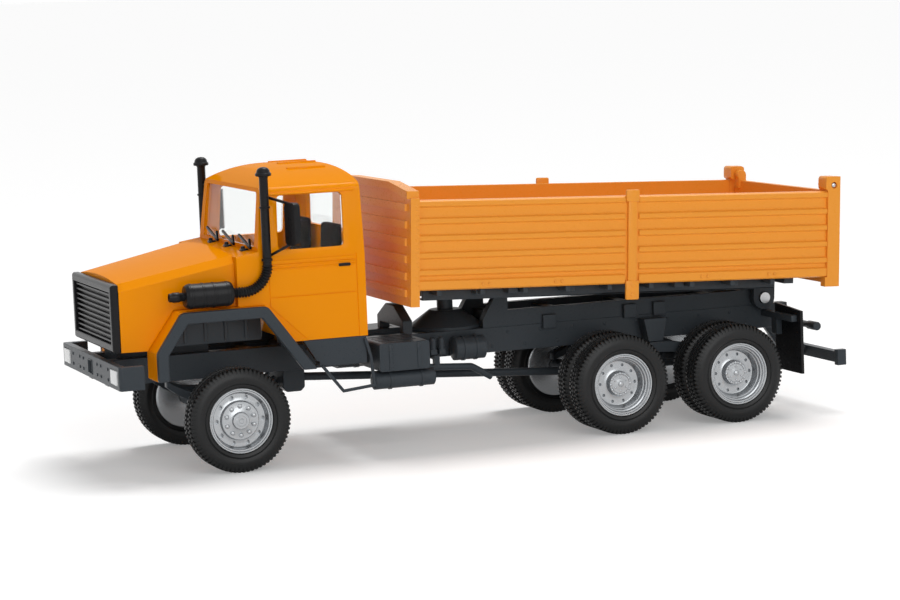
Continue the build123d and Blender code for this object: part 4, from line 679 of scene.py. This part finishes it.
@dataclass
class RimSet(Piece):
    """Both rims of one axle: ringed lips, a dished web with vents, and a hub with nuts."""

    node: str
    body: str
    kind: WheelKind
    lip_y: float
    vents: int = 10
    steps: int = 100

    ROD_BORE = 0.58
    BARREL = 3.6
    FLANGE = 3.89
    CHAMFER = 0.1
    LIP = (
        (-0.08, 3.89), (0.0, 3.82), (0.0, 3.70), (-0.07, 3.64), (-0.18, 3.60), (-0.18, 3.46),
        (-0.26, 3.40),
    )
    VENT_COLUMNS = 4
    WEB_REACH = 0.01
    VENT_INSET = 0.05 * MM
    VENT_DEPTH = 0.5 * MM

    def build(self) -> bpy.types.Object:
        """Turn both rims, cut the vents and set the nuts.

        Returns:
            The rims of the axle as one object.
        """
        low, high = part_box(self.node)
        axle = (low + high) / (2 * MM)
        form = bmesh.new()
        for side in SIDES:
            self.add_rim(form, axle, side)
        merge_close(form)
        piece = self.place(self.node + "_dished", form, RIM_SILVER, self.body, 34)
        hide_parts(self.node)
        return piece

    def add_rim(self, form: Form, axle: Vector, side: int) -> None:
        """Add one rim to the form.

        Args:
            form: The mesh to add to.
            axle: Middle of the axle in millimetres.
            side: 1 for the left wheel and -1 for the right.
        """
        pattern = RIM_PATTERNS[self.kind]
        back = (
            (-pattern.socket, 0.0),
            (-pattern.socket, self.ROD_BORE),
            (-pattern.depth, self.ROD_BORE),
            (-pattern.depth, self.BARREL),
            (self.CHAMFER - pattern.depth, self.FLANGE),
        )
        centre = (axle.x, side * self.lip_y, axle.z)
        before = set(form.faces)
        add_turned(form, back + self.LIP + pattern.face, centre, (0, side, 0), self.steps)
        faces = [face for face in form.faces if face not in before]
        self.cut_vents(form, faces, centre, side, pattern)
        for bolts in pattern.bolts:
            self.set_bolts(form, centre, side, bolts)

    def cut_vents(self, form: Form, faces: list, centre: Triple, side: int, pattern: RimPattern) -> None:
        """Sink a ring of round holes into the web.

        Args:
            form: The mesh that holds the faces.
            faces: Faces of one rim.
            centre: Middle of the lip plane in millimetres.
            side: 1 for the left wheel and -1 for the right.
            pattern: Shape of the rim.
        """
        inner, ring, outer = pattern.web_radii
        columns = self.steps // self.vents
        pitch = 2 * math.pi / self.steps
        first = (columns - self.VENT_COLUMNS) // 2
        groups: dict[int, list] = {}
        web_y = centre[1] - side * pattern.web_depth
        for face in faces:
            spot = face.calc_center_median() / MM
            reach = math.hypot(spot.x - centre[0], spot.z - centre[2])
            on_web = abs(spot.y - web_y) < self.WEB_REACH and inner < reach < outer
            turn = math.atan2(spot.x - centre[0], spot.z - centre[2]) % (2 * math.pi)
            column = int(turn / pitch)
            if on_web and first <= column % columns < first + self.VENT_COLUMNS:
                groups.setdefault(column // columns, []).append(face)
        for index, group in groups.items():
            turn = (index + 0.5) * 2 * math.pi / self.vents
            x = centre[0] + ring * math.sin(turn)
            z = centre[2] + ring * math.cos(turn)
            hub = Vector((x, web_y, z)) * MM
            plate = bmesh.ops.dissolve_faces(form, faces=group)["region"][0]
            bmesh.ops.inset_individual(form, faces=[plate], thickness=self.VENT_INSET)
            for vert in plate.verts:
                ray = vert.co - hub
                ray.y = 0
                vert.co = hub + ray.normalized() * (pattern.vent_radius * MM)
            well = bmesh.ops.extrude_discrete_faces(form, faces=[plate])["faces"]
            bmesh.ops.translate(form, vec=(0, -side * self.VENT_DEPTH, 0), verts=well[0].verts[:])

    def set_bolts(self, form: Form, centre: Triple, side: int, bolts: BoltRing) -> None:
        """Set bolt heads in a circle about the hub.

        Args:
            form: The mesh to add to.
            centre: Middle of the lip plane in millimetres.
            side: 1 for the left wheel and -1 for the right.
            bolts: The circle.
        """
        for index in range(bolts.count):
            turn = 2 * math.pi * index / bolts.count
            seat = (
                centre[0] + bolts.ring * math.sin(turn),
                centre[1] + side * bolts.depth,
                centre[2] + bolts.ring * math.cos(turn),
            )
            add_bolt(form, seat, (0, side, 0), bolts.radius, bolts.height, bolts.steps)


@dataclass
class IntakeSet(Piece):
    """The air intakes of both sides: stack and cap, corrugated hose, canister and inlet pipe."""

    across: float = 13.1
    stack_x: float = 28.85
    stack_radius: float = 0.52
    stack_top: float = 35.8
    elbow_radius: float = 3.0
    elbow_z: float = 24.3
    elbow_rings: int = 14
    ring_rise: float = 0.13
    hose_length: float = 1.4
    hose_rings: int = 4
    canister_length: float = 5.9
    canister_radius: float = 1.5
    wall_y: float = 12.38

    RING_STEPS = 6
    HOSE_FACETS = 24
    COLLARS = ((0.4, 0.4), (6.6, 0.3))
    COLLAR_CHAMFER = 0.06
    BRACKETS = (((28.6, 23.3), (29.1, 23.7)), ((36.6, 20.6), (37.4, 21.0)))

    CAP = (
        (-1.30, 0.52), (-1.12, 0.60), (-1.08, 0.88), (-1.00, 0.95), (-0.78, 0.95),
        (-0.70, 0.88), (-0.62, 0.80), (-0.40, 0.76), (-0.18, 0.60), (-0.05, 0.34), (0.0, 0.0),
    )
    NUB = (
        (0.0, 0.52), (0.5, 0.52), (0.6, 0.60), (1.3, 0.60), (1.45, 0.52), (1.75, 0.52),
        (1.8, 0.44), (1.8, 0.34), (1.3, 0.30), (1.3, 0.0),
    )

    def build(self) -> bpy.types.Object:
        """Build both intakes and let them stand for the solids.

        Returns:
            The two intakes as one object.
        """
        form = bmesh.new()
        for side in SIDES:
            self.add_stack(form, side * self.across)
            self.add_elbow(form, side * self.across)
            self.add_canister(form, side * self.across)
            for (low_x, low_z), (high_x, high_z) in self.BRACKETS:
                low = (low_x, self.wall_y, low_z)
                add_side_block(form, side, low, (high_x, self.across, high_z), 0.08)
        merge_close(form)
        piece = self.place("air_intakes_ringed", form, TRIM_BLACK, "chassis", 40)
        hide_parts("air_intakes")
        return piece

    def add_stack(self, form: Form, y: float) -> None:
        """Turn the upright pipe with its collars and mushroom cap."""
        pipe = self.stack_radius
        collar = pipe + self.ring_rise
        chamfer = self.COLLAR_CHAMFER
        outline = [(self.elbow_z - self.stack_top, pipe)]
        for foot, length in self.COLLARS:
            start = self.elbow_z + foot - self.stack_top
            outline += [
                (start, pipe),
                (start + chamfer, collar),
                (start + length - chamfer, collar),
                (start + length, pipe),
            ]
        outline += self.CAP
        add_turned(form, tuple(outline), (self.stack_x, y, self.stack_top), (0, 0, 1), 36)

    def add_elbow(self, form: Form, y: float) -> None:
        """Sweep the hose round its bend and swell it into rings."""
        bend = self.elbow_radius
        centre = Vector((self.stack_x + bend, y, self.elbow_z)) * MM
        before = set(form.verts)
        start = Matrix.Translation(centre - Vector((bend * MM, 0, 0)))
        ring = bmesh.ops.create_circle(
            form,
            cap_ends=False,
            segments=self.HOSE_FACETS,
            radius=self.stack_radius * MM,
            matrix=start,
        )["verts"]
        edges = list({edge for vert in ring for edge in vert.link_edges})
        bmesh.ops.spin(
            form,
            geom=ring + edges,
            cent=centre,
            axis=(0, -1, 0),
            angle=math.pi / 2,
            steps=self.elbow_rings * self.RING_STEPS,
        )
        for vert in (vert for vert in form.verts if vert not in before):
            arm = vert.co - centre
            turn = math.atan2(-arm.z, -arm.x)
            spine = centre + Vector((-math.cos(turn), 0, -math.sin(turn))) * (bend * MM)
            wave = 0.5 - 0.5 * math.cos(turn * 4 * self.elbow_rings)
            swell = 1 + self.ring_rise / self.stack_radius * wave
            vert.co = spine + (vert.co - spine) * swell

    def add_canister(self, form: Form, y: float) -> None:
        """Turn the straight hose, the banded canister and the inlet pipe."""
        start_x = self.stack_x + self.elbow_radius
        centre = (start_x, y, self.elbow_z - self.elbow_radius)
        outline = []
        steps = self.hose_rings * self.RING_STEPS
        for index in range(steps + 1):
            wave = 0.5 - 0.5 * math.cos(index * 2 * math.pi / self.RING_STEPS)
            at = index * self.hose_length / steps
            outline.append((at, self.stack_radius + self.ring_rise * wave))
        add_turned(form, tuple(outline), centre, (1, 0, 0), self.HOSE_FACETS)
        wide = self.canister_radius
        length = self.canister_length
        body = [
            (0.0, 0.3),
            (0.0, 0.95),
            (0.10, 1.05),
            (0.14, 1.26),
            (0.40, wide - 0.08),
            (0.55, wide - 0.04),
        ]
        for band in (0.62, 2.25, 3.55, length - 0.92):
            body += [
                (band, wide - 0.05),
                (band + 0.05, wide),
                (band + 0.25, wide),
                (band + 0.30, wide - 0.05),
            ]
        body += [
            (length - 0.5, wide - 0.05),
            (length - 0.35, wide - 0.1),
            (length - 0.08, 1.2),
            (length - 0.05, 0.9),
            (length, 0.8),
            (length, 0.3),
        ]
        foot = (start_x + self.hose_length, y, centre[2])
        add_turned(form, tuple(body), foot, (1, 0, 0), 40)
        add_turned(form, self.NUB, (foot[0] + length, y, centre[2]), (1, 0, 0), 28)


@dataclass
class CabTrim(Piece):
    """Small mouldings of the cab: belt ridges, drip rails, mirror panes and wiper spindles."""

    half: float = 12.4
    door: tuple[float, float] = (17.75, 28.35)
    ridges: tuple[float, ...] = (23.62, 24.06)
    ridge_half: float = 0.09
    mirror_middle: Triple = (26.0, 14.6, 29.0)
    mirror_aim: tuple[float, float] = (0.94, 0.35)
    pane_setback: float = 0.41
    wiper_places: tuple[float, ...] = (8.3, 1.5, -5.3)

    DRIP_RAIL = ((17.3, 11.50, 32.26), (28.5, 11.84, 32.5))
    PANE = ((-0.03, -0.78, -2.15), (0.03, 0.78, 2.15))
    SPINDLE = ((0.0, 0.26), (0.3, 0.26), (0.42, 0.16), (0.42, 0.0))

    def build(self) -> None:
        """Build every moulding of the cab."""
        self.build_ridges()
        self.build_mirror_faces()
        self.build_wiper_spindles()

    def build_ridges(self) -> None:
        """Set two belt ridges and a drip rail on each side."""
        form = bmesh.new()
        for side in SIDES:
            for z in self.ridges:
                low = (self.door[0], self.half - 0.05, z - self.ridge_half)
                high = (self.door[1], self.half + 0.12, z + self.ridge_half)
                add_side_block(form, side, low, high, 0.06)
            add_side_block(form, side, *self.DRIP_RAIL, 0.1)
        self.place("belt_ridges", form, CAB_ORANGE, "chassis", 50)

    def build_mirror_faces(self) -> None:
        """Set a bright pane in the back of each mirror."""
        form = bmesh.new()
        ahead, outward = self.mirror_aim
        for side in SIDES:
            before = set(form.verts)
            add_block(form, *self.PANE, 0.02)
            x, y, z = self.mirror_middle
            aim = Vector((ahead, side * outward, 0))
            back = Vector((x, side * y, z)) - self.pane_setback * aim
            heading = Matrix.Rotation(math.atan2(aim.y, aim.x), 4, "Z")
            pane = [vert for vert in form.verts if vert not in before]
            bmesh.ops.transform(form, matrix=Matrix.Translation(back * MM) @ heading, verts=pane)
        self.place("mirror_faces", form, AXLE_STEEL, "chassis", 50)

    def build_wiper_spindles(self) -> None:
        """Set a block and a turned spindle at the foot of each wiper."""
        form = bmesh.new()
        for y in self.wiper_places:
            add_block(form, (29.75, y - 0.55, 25.3), (30.6, y + 0.55, 25.95), 0.12)
            add_turned(form, self.SPINDLE, (30.3, y, 25.85), (0, 0, 1), 12)
        self.place("wiper_spindles", form, TRIM_BLACK, "chassis", 45)


@dataclass
class NoseTrim(Piece):
    """Fasteners and lens ribs of the bumper, and the inner walls of the front arches."""

    face_x: float = 47.5
    middle_z: float = 12.4
    bolt_places: tuple[float, ...] = (-8.6, -5.2, -3.4, 3.4, 5.2, 8.6)
    bolt_lift: float = 0.62
    lamp_y: float = 11.55
    lens_ribs: int = 9
    rib_pitch: float = 0.27
    rib_front: float = 47.61
    wall_ribs: tuple[float, ...] = (30.5, 33.0, 35.5, 38.0)

    POCKET_RIM = (
        ((-1.0, 13.15), (1.0, 13.3)),
        ((-1.0, 11.5), (1.0, 11.65)),
        ((-1.0, 11.5), (-0.85, 13.3)),
        ((0.85, 11.5), (1.0, 13.3)),
    )
    SPLASH_WALL = ((28.6, 8.3, 15.0), (40.6, 8.65, 18.7))

    def build(self) -> None:
        """Build the bumper fasteners, the lens ribs and the arch walls."""
        self.build_bolts()
        self.build_lens_ribs()
        self.build_arch_walls()

    def build_bolts(self) -> None:
        """Set bolt heads across the bumper's face and a rim round the tow pocket."""
        form = bmesh.new()
        for y in self.bolt_places:
            for lift in (-self.bolt_lift, self.bolt_lift):
                add_bolt(form, (self.face_x, y, self.middle_z + lift), (1, 0, 0), 0.2, 0.1)
        for low, high in self.POCKET_RIM:
            add_block(form, (self.face_x - 0.1, *low), (self.face_x + 0.07, *high), 0.04)
        self.place("bumper_fasteners", form, CHASSIS_GREY, "chassis", 40)

    def build_lens_ribs(self) -> None:
        """Rib the lamp lenses."""
        form = bmesh.new()
        for side in SIDES:
            for index in range(self.lens_ribs):
                y = side * self.lamp_y + (index - self.lens_ribs // 2) * self.rib_pitch
                low = (self.face_x - 0.05, y - 0.06, 11.75)
                add_block(form, low, (self.rib_front, y + 0.06, 13.05), 0.03)
        self.place("lens_ribs", form, LAMP_LENS, "chassis", 40)

    def build_arch_walls(self) -> None:
        """Close the front arches towards the engine with a ribbed splash wall."""
        form = bmesh.new()
        for side in SIDES:
            add_side_block(form, side, *self.SPLASH_WALL, 0.1)
            for x in self.wall_ribs:
                add_side_block(form, side, (x - 0.2, 8.6, 15.3), (x + 0.2, 8.85, 18.4), 0.08)
        self.place("arch_walls", form, CHASSIS_GREY, "chassis", 45)


@dataclass
class BedTrim(Piece):
    """Stakes, bolts, beams and pins of the bed, drawn level and laid at the bed's resting tilt."""

    origin: Triple = (-46.1, 0.0, 17.4)
    tilt: float = math.radians(2.5)
    stake_u: float = 28.7
    stake_inside: float = 13.95
    bolt_places: tuple[float, ...] = (9.5, 18.8, 38.5, 48.0)
    bead_count: int = 18
    bead_pitch: float = 0.56
    bead_radii: tuple[float, float] = (0.36, 0.44)
    beam_ends: tuple[float, float] = (7.5, 55.0)
    bearer_count: int = 9
    bearer_pitch: float = 5.6

    STAKE_ROWS = (
        (0.58, -1.0, 11.0, 14.33, 0.12),
        (0.90, 10.1, 11.6, 14.45, 0.2),
        (0.90, -1.95, 0.45, 14.45, 0.2),
    )
    STAKE_BOLTS = (-1.35, -0.1)
    PIN = ((-0.2, 0.33), (0.0, 0.33), (0.12, 0.30), (0.2, 0.2), (0.2, 0.0))

    def lay(self, name: str, form: Form, finish: Finish, body: str) -> bpy.types.Object:
        """Turn a form from the level bed to the resting tilt and place it."""
        turn = Matrix.Translation(Vector(self.origin) * MM) @ Matrix.Rotation(-self.tilt, 4, "Y")
        bmesh.ops.transform(form, matrix=turn, verts=form.verts[:])
        return self.place(name, form, finish, body, 45)

    def build(self) -> None:
        """Build the stakes, the wall bolts, the side beams and the gate pins."""
        self.build_stakes()
        self.build_hinges()
        self.build_side_beams()
        self.build_pins()

    def build_stakes(self) -> None:
        """Shape the middle stakes with an ear above, a slim post and a bolted lug below."""
        form = bmesh.new()
        for side in SIDES:
            for half_width, low, high, face, radius in self.STAKE_ROWS:
                start = (self.stake_u - half_width, self.stake_inside, low)
                end = (self.stake_u + half_width, face, high)
                add_side_block(form, side, start, end, radius)
            for lift in self.STAKE_BOLTS:
                add_bolt(form, (self.stake_u, side * 14.42, lift), (0, side, 0), 0.3, 0.12, 10)
        piece = self.lay("bed_stakes_eared", form, BED_ORANGE, "bed")
        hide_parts("bed_stakes")

    def build_hinges(self) -> None:
        """Set pairs of hinge bolts along each wall's foot and a beaded post at its front corner."""
        form = bmesh.new()
        slim, wide = self.bead_radii
        outline = [(0.0, 0.0), (0.0, slim)]
        for index in range(self.bead_count):
            at = 0.3 + index * self.bead_pitch
            outline += [(at, slim), (at + 0.14, wide), (at + 0.28, wide), (at + 0.42, slim)]
        outline += [(10.6, slim), (10.7, 0.28), (10.7, 0.0)]
        for side in SIDES:
            for u in self.bolt_places:
                for step in (-0.42, 0.42):
                    add_bolt(form, (u + step, side * 14.34, 0.62), (0, side, 0), 0.2, 0.1)
            add_turned(form, tuple(outline), (56.9, side * 13.98, 0.1), (0, 0, 1), 20)
        self.lay("wall_hinges", form, BED_ORANGE, "bed")

    def build_side_beams(self) -> None:
        """Run a channel beam under each long edge of the floor, tied by short bearers."""
        form = bmesh.new()
        start, end = self.beam_ends
        for side in SIDES:
            add_side_block(form, side, (start, 10.6, -1.5), (end, 11.0, -0.02), 0.06)
            add_side_block(form, side, (start, 10.0, -1.5), (end, 11.0, -1.25), 0.06)
            for index in range(self.bearer_count):
                u = 9.0 + self.bearer_pitch * index
                add_side_block(form, side, (u - 0.3, 10.5, -0.7), (u + 0.3, 13.6, -0.02), 0.06)
        self.lay("bed_side_beams", form, CHASSIS_GREY, "bed")

    def build_pins(self) -> None:
        """Head the gate pins with turned caps that swing with the gate."""
        form = bmesh.new()
        for side in SIDES:
            add_turned(form, self.PIN, (0.85, side * 14.06, 11.6), (0, side, 0), 20)
        self.lay("gate_pins", form, AXLE_STEEL, "tailgate")


@dataclass
class ChassisTrim(Piece):
    """Rivets, straps and tank ends along the frame."""

    rail_y: float = 4.7
    rivet_count: int = 30
    rivet_start: float = -42.0
    rivet_pitch: float = 2.2
    rivet_rows: tuple[float, float] = (11.15, 12.75)
    strap_places: tuple[float, ...] = (10.3, 13.9)
    canister_places: tuple[float, ...] = (4.9, 6.0)

    TANKS = (
        (8.1, 15.7, 11.4, 9.175, 1.05),
        (-0.55, 3.35, 6.28, 11.5, 1.45),
    )
    CANISTER_DOME = ((-0.1, 0.42), (0.05, 0.42), (0.25, 0.34), (0.36, 0.18), (0.38, 0.0))

    def build(self) -> None:
        """Build the rivets, the tank ends and the box straps."""
        self.build_rivets()
        self.build_tank_ends()
        self.build_straps()

    def build_rivets(self) -> None:
        """Set rivet heads in two staggered rows along both rail webs."""
        form = bmesh.new()
        for side in SIDES:
            for index in range(self.rivet_count):
                x = self.rivet_start + self.rivet_pitch * index
                seat = (x, side * self.rail_y, self.rivet_rows[index % 2])
                add_bolt(form, seat, (0, side, 0), 0.2, 0.14)
        self.place("rail_rivets", form, CHASSIS_GREY, "chassis", 40)

    def build_tank_ends(self) -> None:
        """Dome the ends of the air tanks."""
        form = bmesh.new()
        for start, end, y, z, radius in self.TANKS:
            dome = (
                (-0.1, radius - 0.02),
                (0.0, radius - 0.04),
                (0.10, 0.86 * radius),
                (0.18, 0.6 * radius),
                (0.22, 0.3 * radius),
                (0.22, 0.0),
            )
            add_turned(form, dome, (end, y, z), (1, 0, 0), 28)
            add_turned(form, dome, (start, y, z), (-1, 0, 0), 28)
        self.place("tank_ends", form, CHASSIS_GREY, "chassis", 40)

    def build_straps(self) -> None:
        """Lay bolted straps over the battery box and dome the two small canisters."""
        form = bmesh.new()
        for x in self.strap_places:
            add_block(form, (x - 0.22, 12.8, 10.5), (x + 0.22, 13.02, 13.6), 0.06)
            add_bolt(form, (x, 13.0, 12.9), (0, 1, 0), 0.16, 0.12)
        for x in self.canister_places:
            add_turned(form, self.CANISTER_DOME, (x, 6.2, 12.78), (0, 0, 1), 18)
        self.place("box_straps", form, CHASSIS_GREY, "chassis", 40)


@dataclass
class Studio:
    """Plain pale floor, soft light and a camera at the photograph's viewing angle."""

    position: Vector = field(default_factory=lambda: Vector((125.58, 327.03, 56.75)) * MM)
    yaw: float = math.radians(20.83)
    pitch: float = math.radians(6.516)
    roll: float = math.radians(-2.26)
    focal: float = 112.45
    sensor: float = 36.0
    floor_glow: float = 0.23
    sky_light: float = 0.27
    sun_strength: float = 1.95
    sun_spread: float = math.radians(30)
    sun_heading: Vector = field(default_factory=lambda: Vector((0.30, 0.22, -1.0)))
    floor_size: float = 20.0
    floor_color: Triple = (0.86, 0.86, 0.86)
    panel_aim: Triple = (0, 0, 0.015)
    clip: tuple[float, float] = (0.01, 60.0)

    PANELS = (
        ("camera_fill", (0.02, 0.62, 0.30), 0.50, 1.75),
        ("nose_fill", (0.60, 0.30, 0.25), 0.30, 0.3),
    )

    def build(self) -> None:
        """Make the floor, the lights, the backdrop and the camera."""
        self.make_floor()
        self.make_lights()
        self.make_backdrop()
        self.make_camera()

    def make_floor(self) -> None:
        """Lay a wide matt floor that reads white where no shadow falls."""
        form = bmesh.new()
        bmesh.ops.create_grid(form, x_segments=2, y_segments=2, size=self.floor_size)
        mesh = bpy.data.meshes.new("floor")
        form.to_mesh(mesh)
        form.free()
        floor = bpy.data.objects.new("floor", mesh)
        bpy.context.scene.collection.objects.link(floor)
        material = bpy.data.materials.new("floor_white")
        material.use_nodes = True
        nodes, links = material.node_tree.nodes, material.node_tree.links
        shader = nodes["Principled BSDF"]
        shader.inputs["Base Color"].default_value = (*self.floor_color, 1.0)
        shader.inputs["Roughness"].default_value = 0.9
        shader.inputs["Specular IOR Level"].default_value = 0.0
        shader.inputs["Emission Color"].default_value = (1.0, 1.0, 1.0, 1.0)
        seen = self.seen_rays(nodes, links)
        glow = nodes.new("ShaderNodeMath")
        glow.operation = "MULTIPLY"
        links.new(seen, glow.inputs[0])
        glow.inputs[1].default_value = self.floor_glow
        links.new(glow.outputs[0], shader.inputs["Emission Strength"])
        mesh.materials.append(material)

    def seen_rays(self, nodes: bpy.types.Nodes, links: bpy.types.NodeLinks) -> bpy.types.NodeSocket:
        """Tell camera, glossy and transmission rays from those that only carry light.

        Args:
            nodes: Nodes of the tree to add to.
            links: Links of that tree.

        Returns:
            A socket that is 1 for rays that show the backdrop.
        """
        path = nodes.new("ShaderNodeLightPath")
        total = path.outputs["Is Camera Ray"]
        for name in ("Is Glossy Ray", "Is Transmission Ray"):
            either = nodes.new("ShaderNodeMath")
            either.operation = "MAXIMUM"
            links.new(total, either.inputs[0])
            links.new(path.outputs[name], either.inputs[1])
            total = either.outputs[0]
        return total

    def make_lights(self) -> None:
        """Shine a wide soft light from above, with fills beside the camera and off the nose."""
        sun = bpy.data.lights.new("overhead", "SUN")
        sun.energy = self.sun_strength
        sun.angle = self.sun_spread
        lamp = bpy.data.objects.new("overhead", sun)
        lamp.rotation_euler = self.sun_heading.to_track_quat("-Z", "Y").to_euler()
        bpy.context.scene.collection.objects.link(lamp)
        for name, position, size, power in self.PANELS:
            data = bpy.data.lights.new(name, "AREA")
            data.size = size
            data.energy = power
            panel = bpy.data.objects.new(name, data)
            panel.location = position
            aim = Vector(self.panel_aim) - Vector(position)
            panel.rotation_euler = aim.to_track_quat("-Z", "Y").to_euler()
            bpy.context.scene.collection.objects.link(panel)

    def make_backdrop(self) -> None:
        """Surround the scene with even white, plain to the camera and softer as light."""
        world = bpy.data.worlds.new("white_tent")
        bpy.context.scene.world = world
        world.use_nodes = True
        nodes, links = world.node_tree.nodes, world.node_tree.links
        sky = nodes["Background"]
        sky.inputs["Color"].default_value = (1.0, 1.0, 1.0, 1.0)
        level = nodes.new("ShaderNodeMapRange")
        level.inputs["To Min"].default_value = self.sky_light
        level.inputs["To Max"].default_value = 1.0
        links.new(self.seen_rays(nodes, links), level.inputs["Value"])
        links.new(level.outputs["Result"], sky.inputs["Strength"])

    def make_camera(self) -> None:
        """Set the camera by its place, heading, dip and lean."""
        ahead = Vector(
            (
                -math.sin(self.yaw) * math.cos(self.pitch),
                -math.cos(self.yaw) * math.cos(self.pitch),
                -math.sin(self.pitch),
            )
        )
        right = ahead.cross(Vector((0, 0, 1))).normalized()
        above = right.cross(ahead)
        lean = Matrix.Rotation(self.roll, 3, -ahead)
        right, above = lean @ right, lean @ above
        data = bpy.data.cameras.new("camera")
        data.lens = self.focal
        data.sensor_width = self.sensor
        data.clip_start, data.clip_end = self.clip
        camera = bpy.data.objects.new("camera", data)
        turn = Matrix((right, above, -ahead)).transposed()
        camera.matrix_world = Matrix.Translation(self.position) @ turn.to_4x4()
        bpy.context.scene.collection.objects.link(camera)
        bpy.context.scene.camera = camera
        bpy.context.scene.view_settings.view_transform = "Standard"


@dataclass
class Truck:
    """The whole model: solids of the frame in their finishes, and the pieces built over them."""

    frame: dict
    shop: MaterialShop

    LINING_NODES = ("seats", "dashboard", "steering_wheel")
    FRONT_TYRE = (3.6, (13.6,))
    TWIN_TYRES = (3.25, (14.1, 10.35))
    FRONT_LIP = 13.45
    TWIN_LIP = 13.95

    SOFT_NODES = {
        "cab_shell": 0.16, "bonnet": 0.22, "grille_frame": 0.12, "grille_slats": 0.05,
        "front_bumper": 0.14, "front_fenders": 0.12, "arch_flares": 0.2, "sill_panels": 0.12,
        "battery_box": 0.12, "headboard": 0.1, "corner_posts": 0.14, "tailgate": 0.08,
        "side_wall_left": 0.06, "side_wall_right": 0.06, "frame_rails": 0.08,
        "tipper_subframe": 0.1, "underrun_bar": 0.12, "rear_brackets": 0.06, "mud_flaps": 0.05,
        "headlamps": 0.12, "bogie_brackets": 0.08, "subframe_clips": 0.1, "mirrors": 0.12,
        "seats": 0.35, "dashboard": 0.25, "bed_underframe": 0.06, "ram_cradle": 0.12,
        "wipers": 0.06, "step_loops": 0.08, "crossmembers": 0.08, "fuel_tank": 0.12,
        "engine_block": 0.15, "transfer_case": 0.15, "rear_lamps": 0.08, "cab_mounts": 0.08,
        "door_handles": 0.06, "leaf_springs": 0.05,
    }

    def finish_of(self, node: str) -> Finish:
        """Look up the finish of a solid by its material slot.

        Args:
            node: Name of the solid.

        Returns:
            Its finish.
        """
        if node in self.LINING_NODES:
            return CAB_LINING
        slots = {row["node"]: row["material_slot"] for row in self.frame["record"]["subparts"]}
        return next(finish for finish in FINISHES if finish.slot == slots[node])

    def body_of(self, node: str) -> str:
        """Look up the body that a solid belongs to."""
        bodies = self.frame["record"]["behaviour"]["bodies"]
        return next(body for body, nodes in bodies.items() if node in nodes)

    def dress(self) -> None:
        """Put every solid in its finish."""
        for node, solid in self.frame["nodes"].items():
            finish = self.finish_of(node)
            solid.data.materials.clear()
            solid.data.materials.append(self.shop.material(finish))
            LOG.info("dressed %s in %s", node, finish.name)

    def soften(self) -> None:
        """Round the edges of the solids that show."""
        for node, radius in self.SOFT_NODES.items():
            shell = SoftenedShell(self.shop, node, self.body_of(node), self.finish_of(node), radius * MM)
            shell.build(self.frame["nodes"][node])

    def shoe(self) -> None:
        """Fit rims and treaded tyres on the axles."""
        TyreSet(self.shop, "front_tyres", "front_wheelset", *self.FRONT_TYRE).build()
        RimSet(self.shop, "front_rims", "front_wheelset", WheelKind.FRONT, self.FRONT_LIP).build()
        for axle in ("middle", "rear"):
            body = axle + "_wheelset"
            TyreSet(self.shop, axle + "_tyres", body, *self.TWIN_TYRES).build()
            RimSet(self.shop, axle + "_rims", body, WheelKind.TWIN, self.TWIN_LIP).build()

    def trim(self) -> None:
        """Add the fine pieces of the nose, cab, frame and bed."""
        IntakeSet(self.shop).build()
        CabTrim(self.shop).build()
        NoseTrim(self.shop).build()
        BedTrim(self.shop).build()
        ChassisTrim(self.shop).build()


def main() -> None:
    """Build the looks of the truck and the studio around it."""
    logging.basicConfig(level=logging.INFO)
    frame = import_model()
    truck = Truck(frame, MaterialShop())
    truck.dress()
    truck.soften()
    truck.shoe()
    truck.trim()
    Studio().build()


if __name__ == "__main__":
    main()
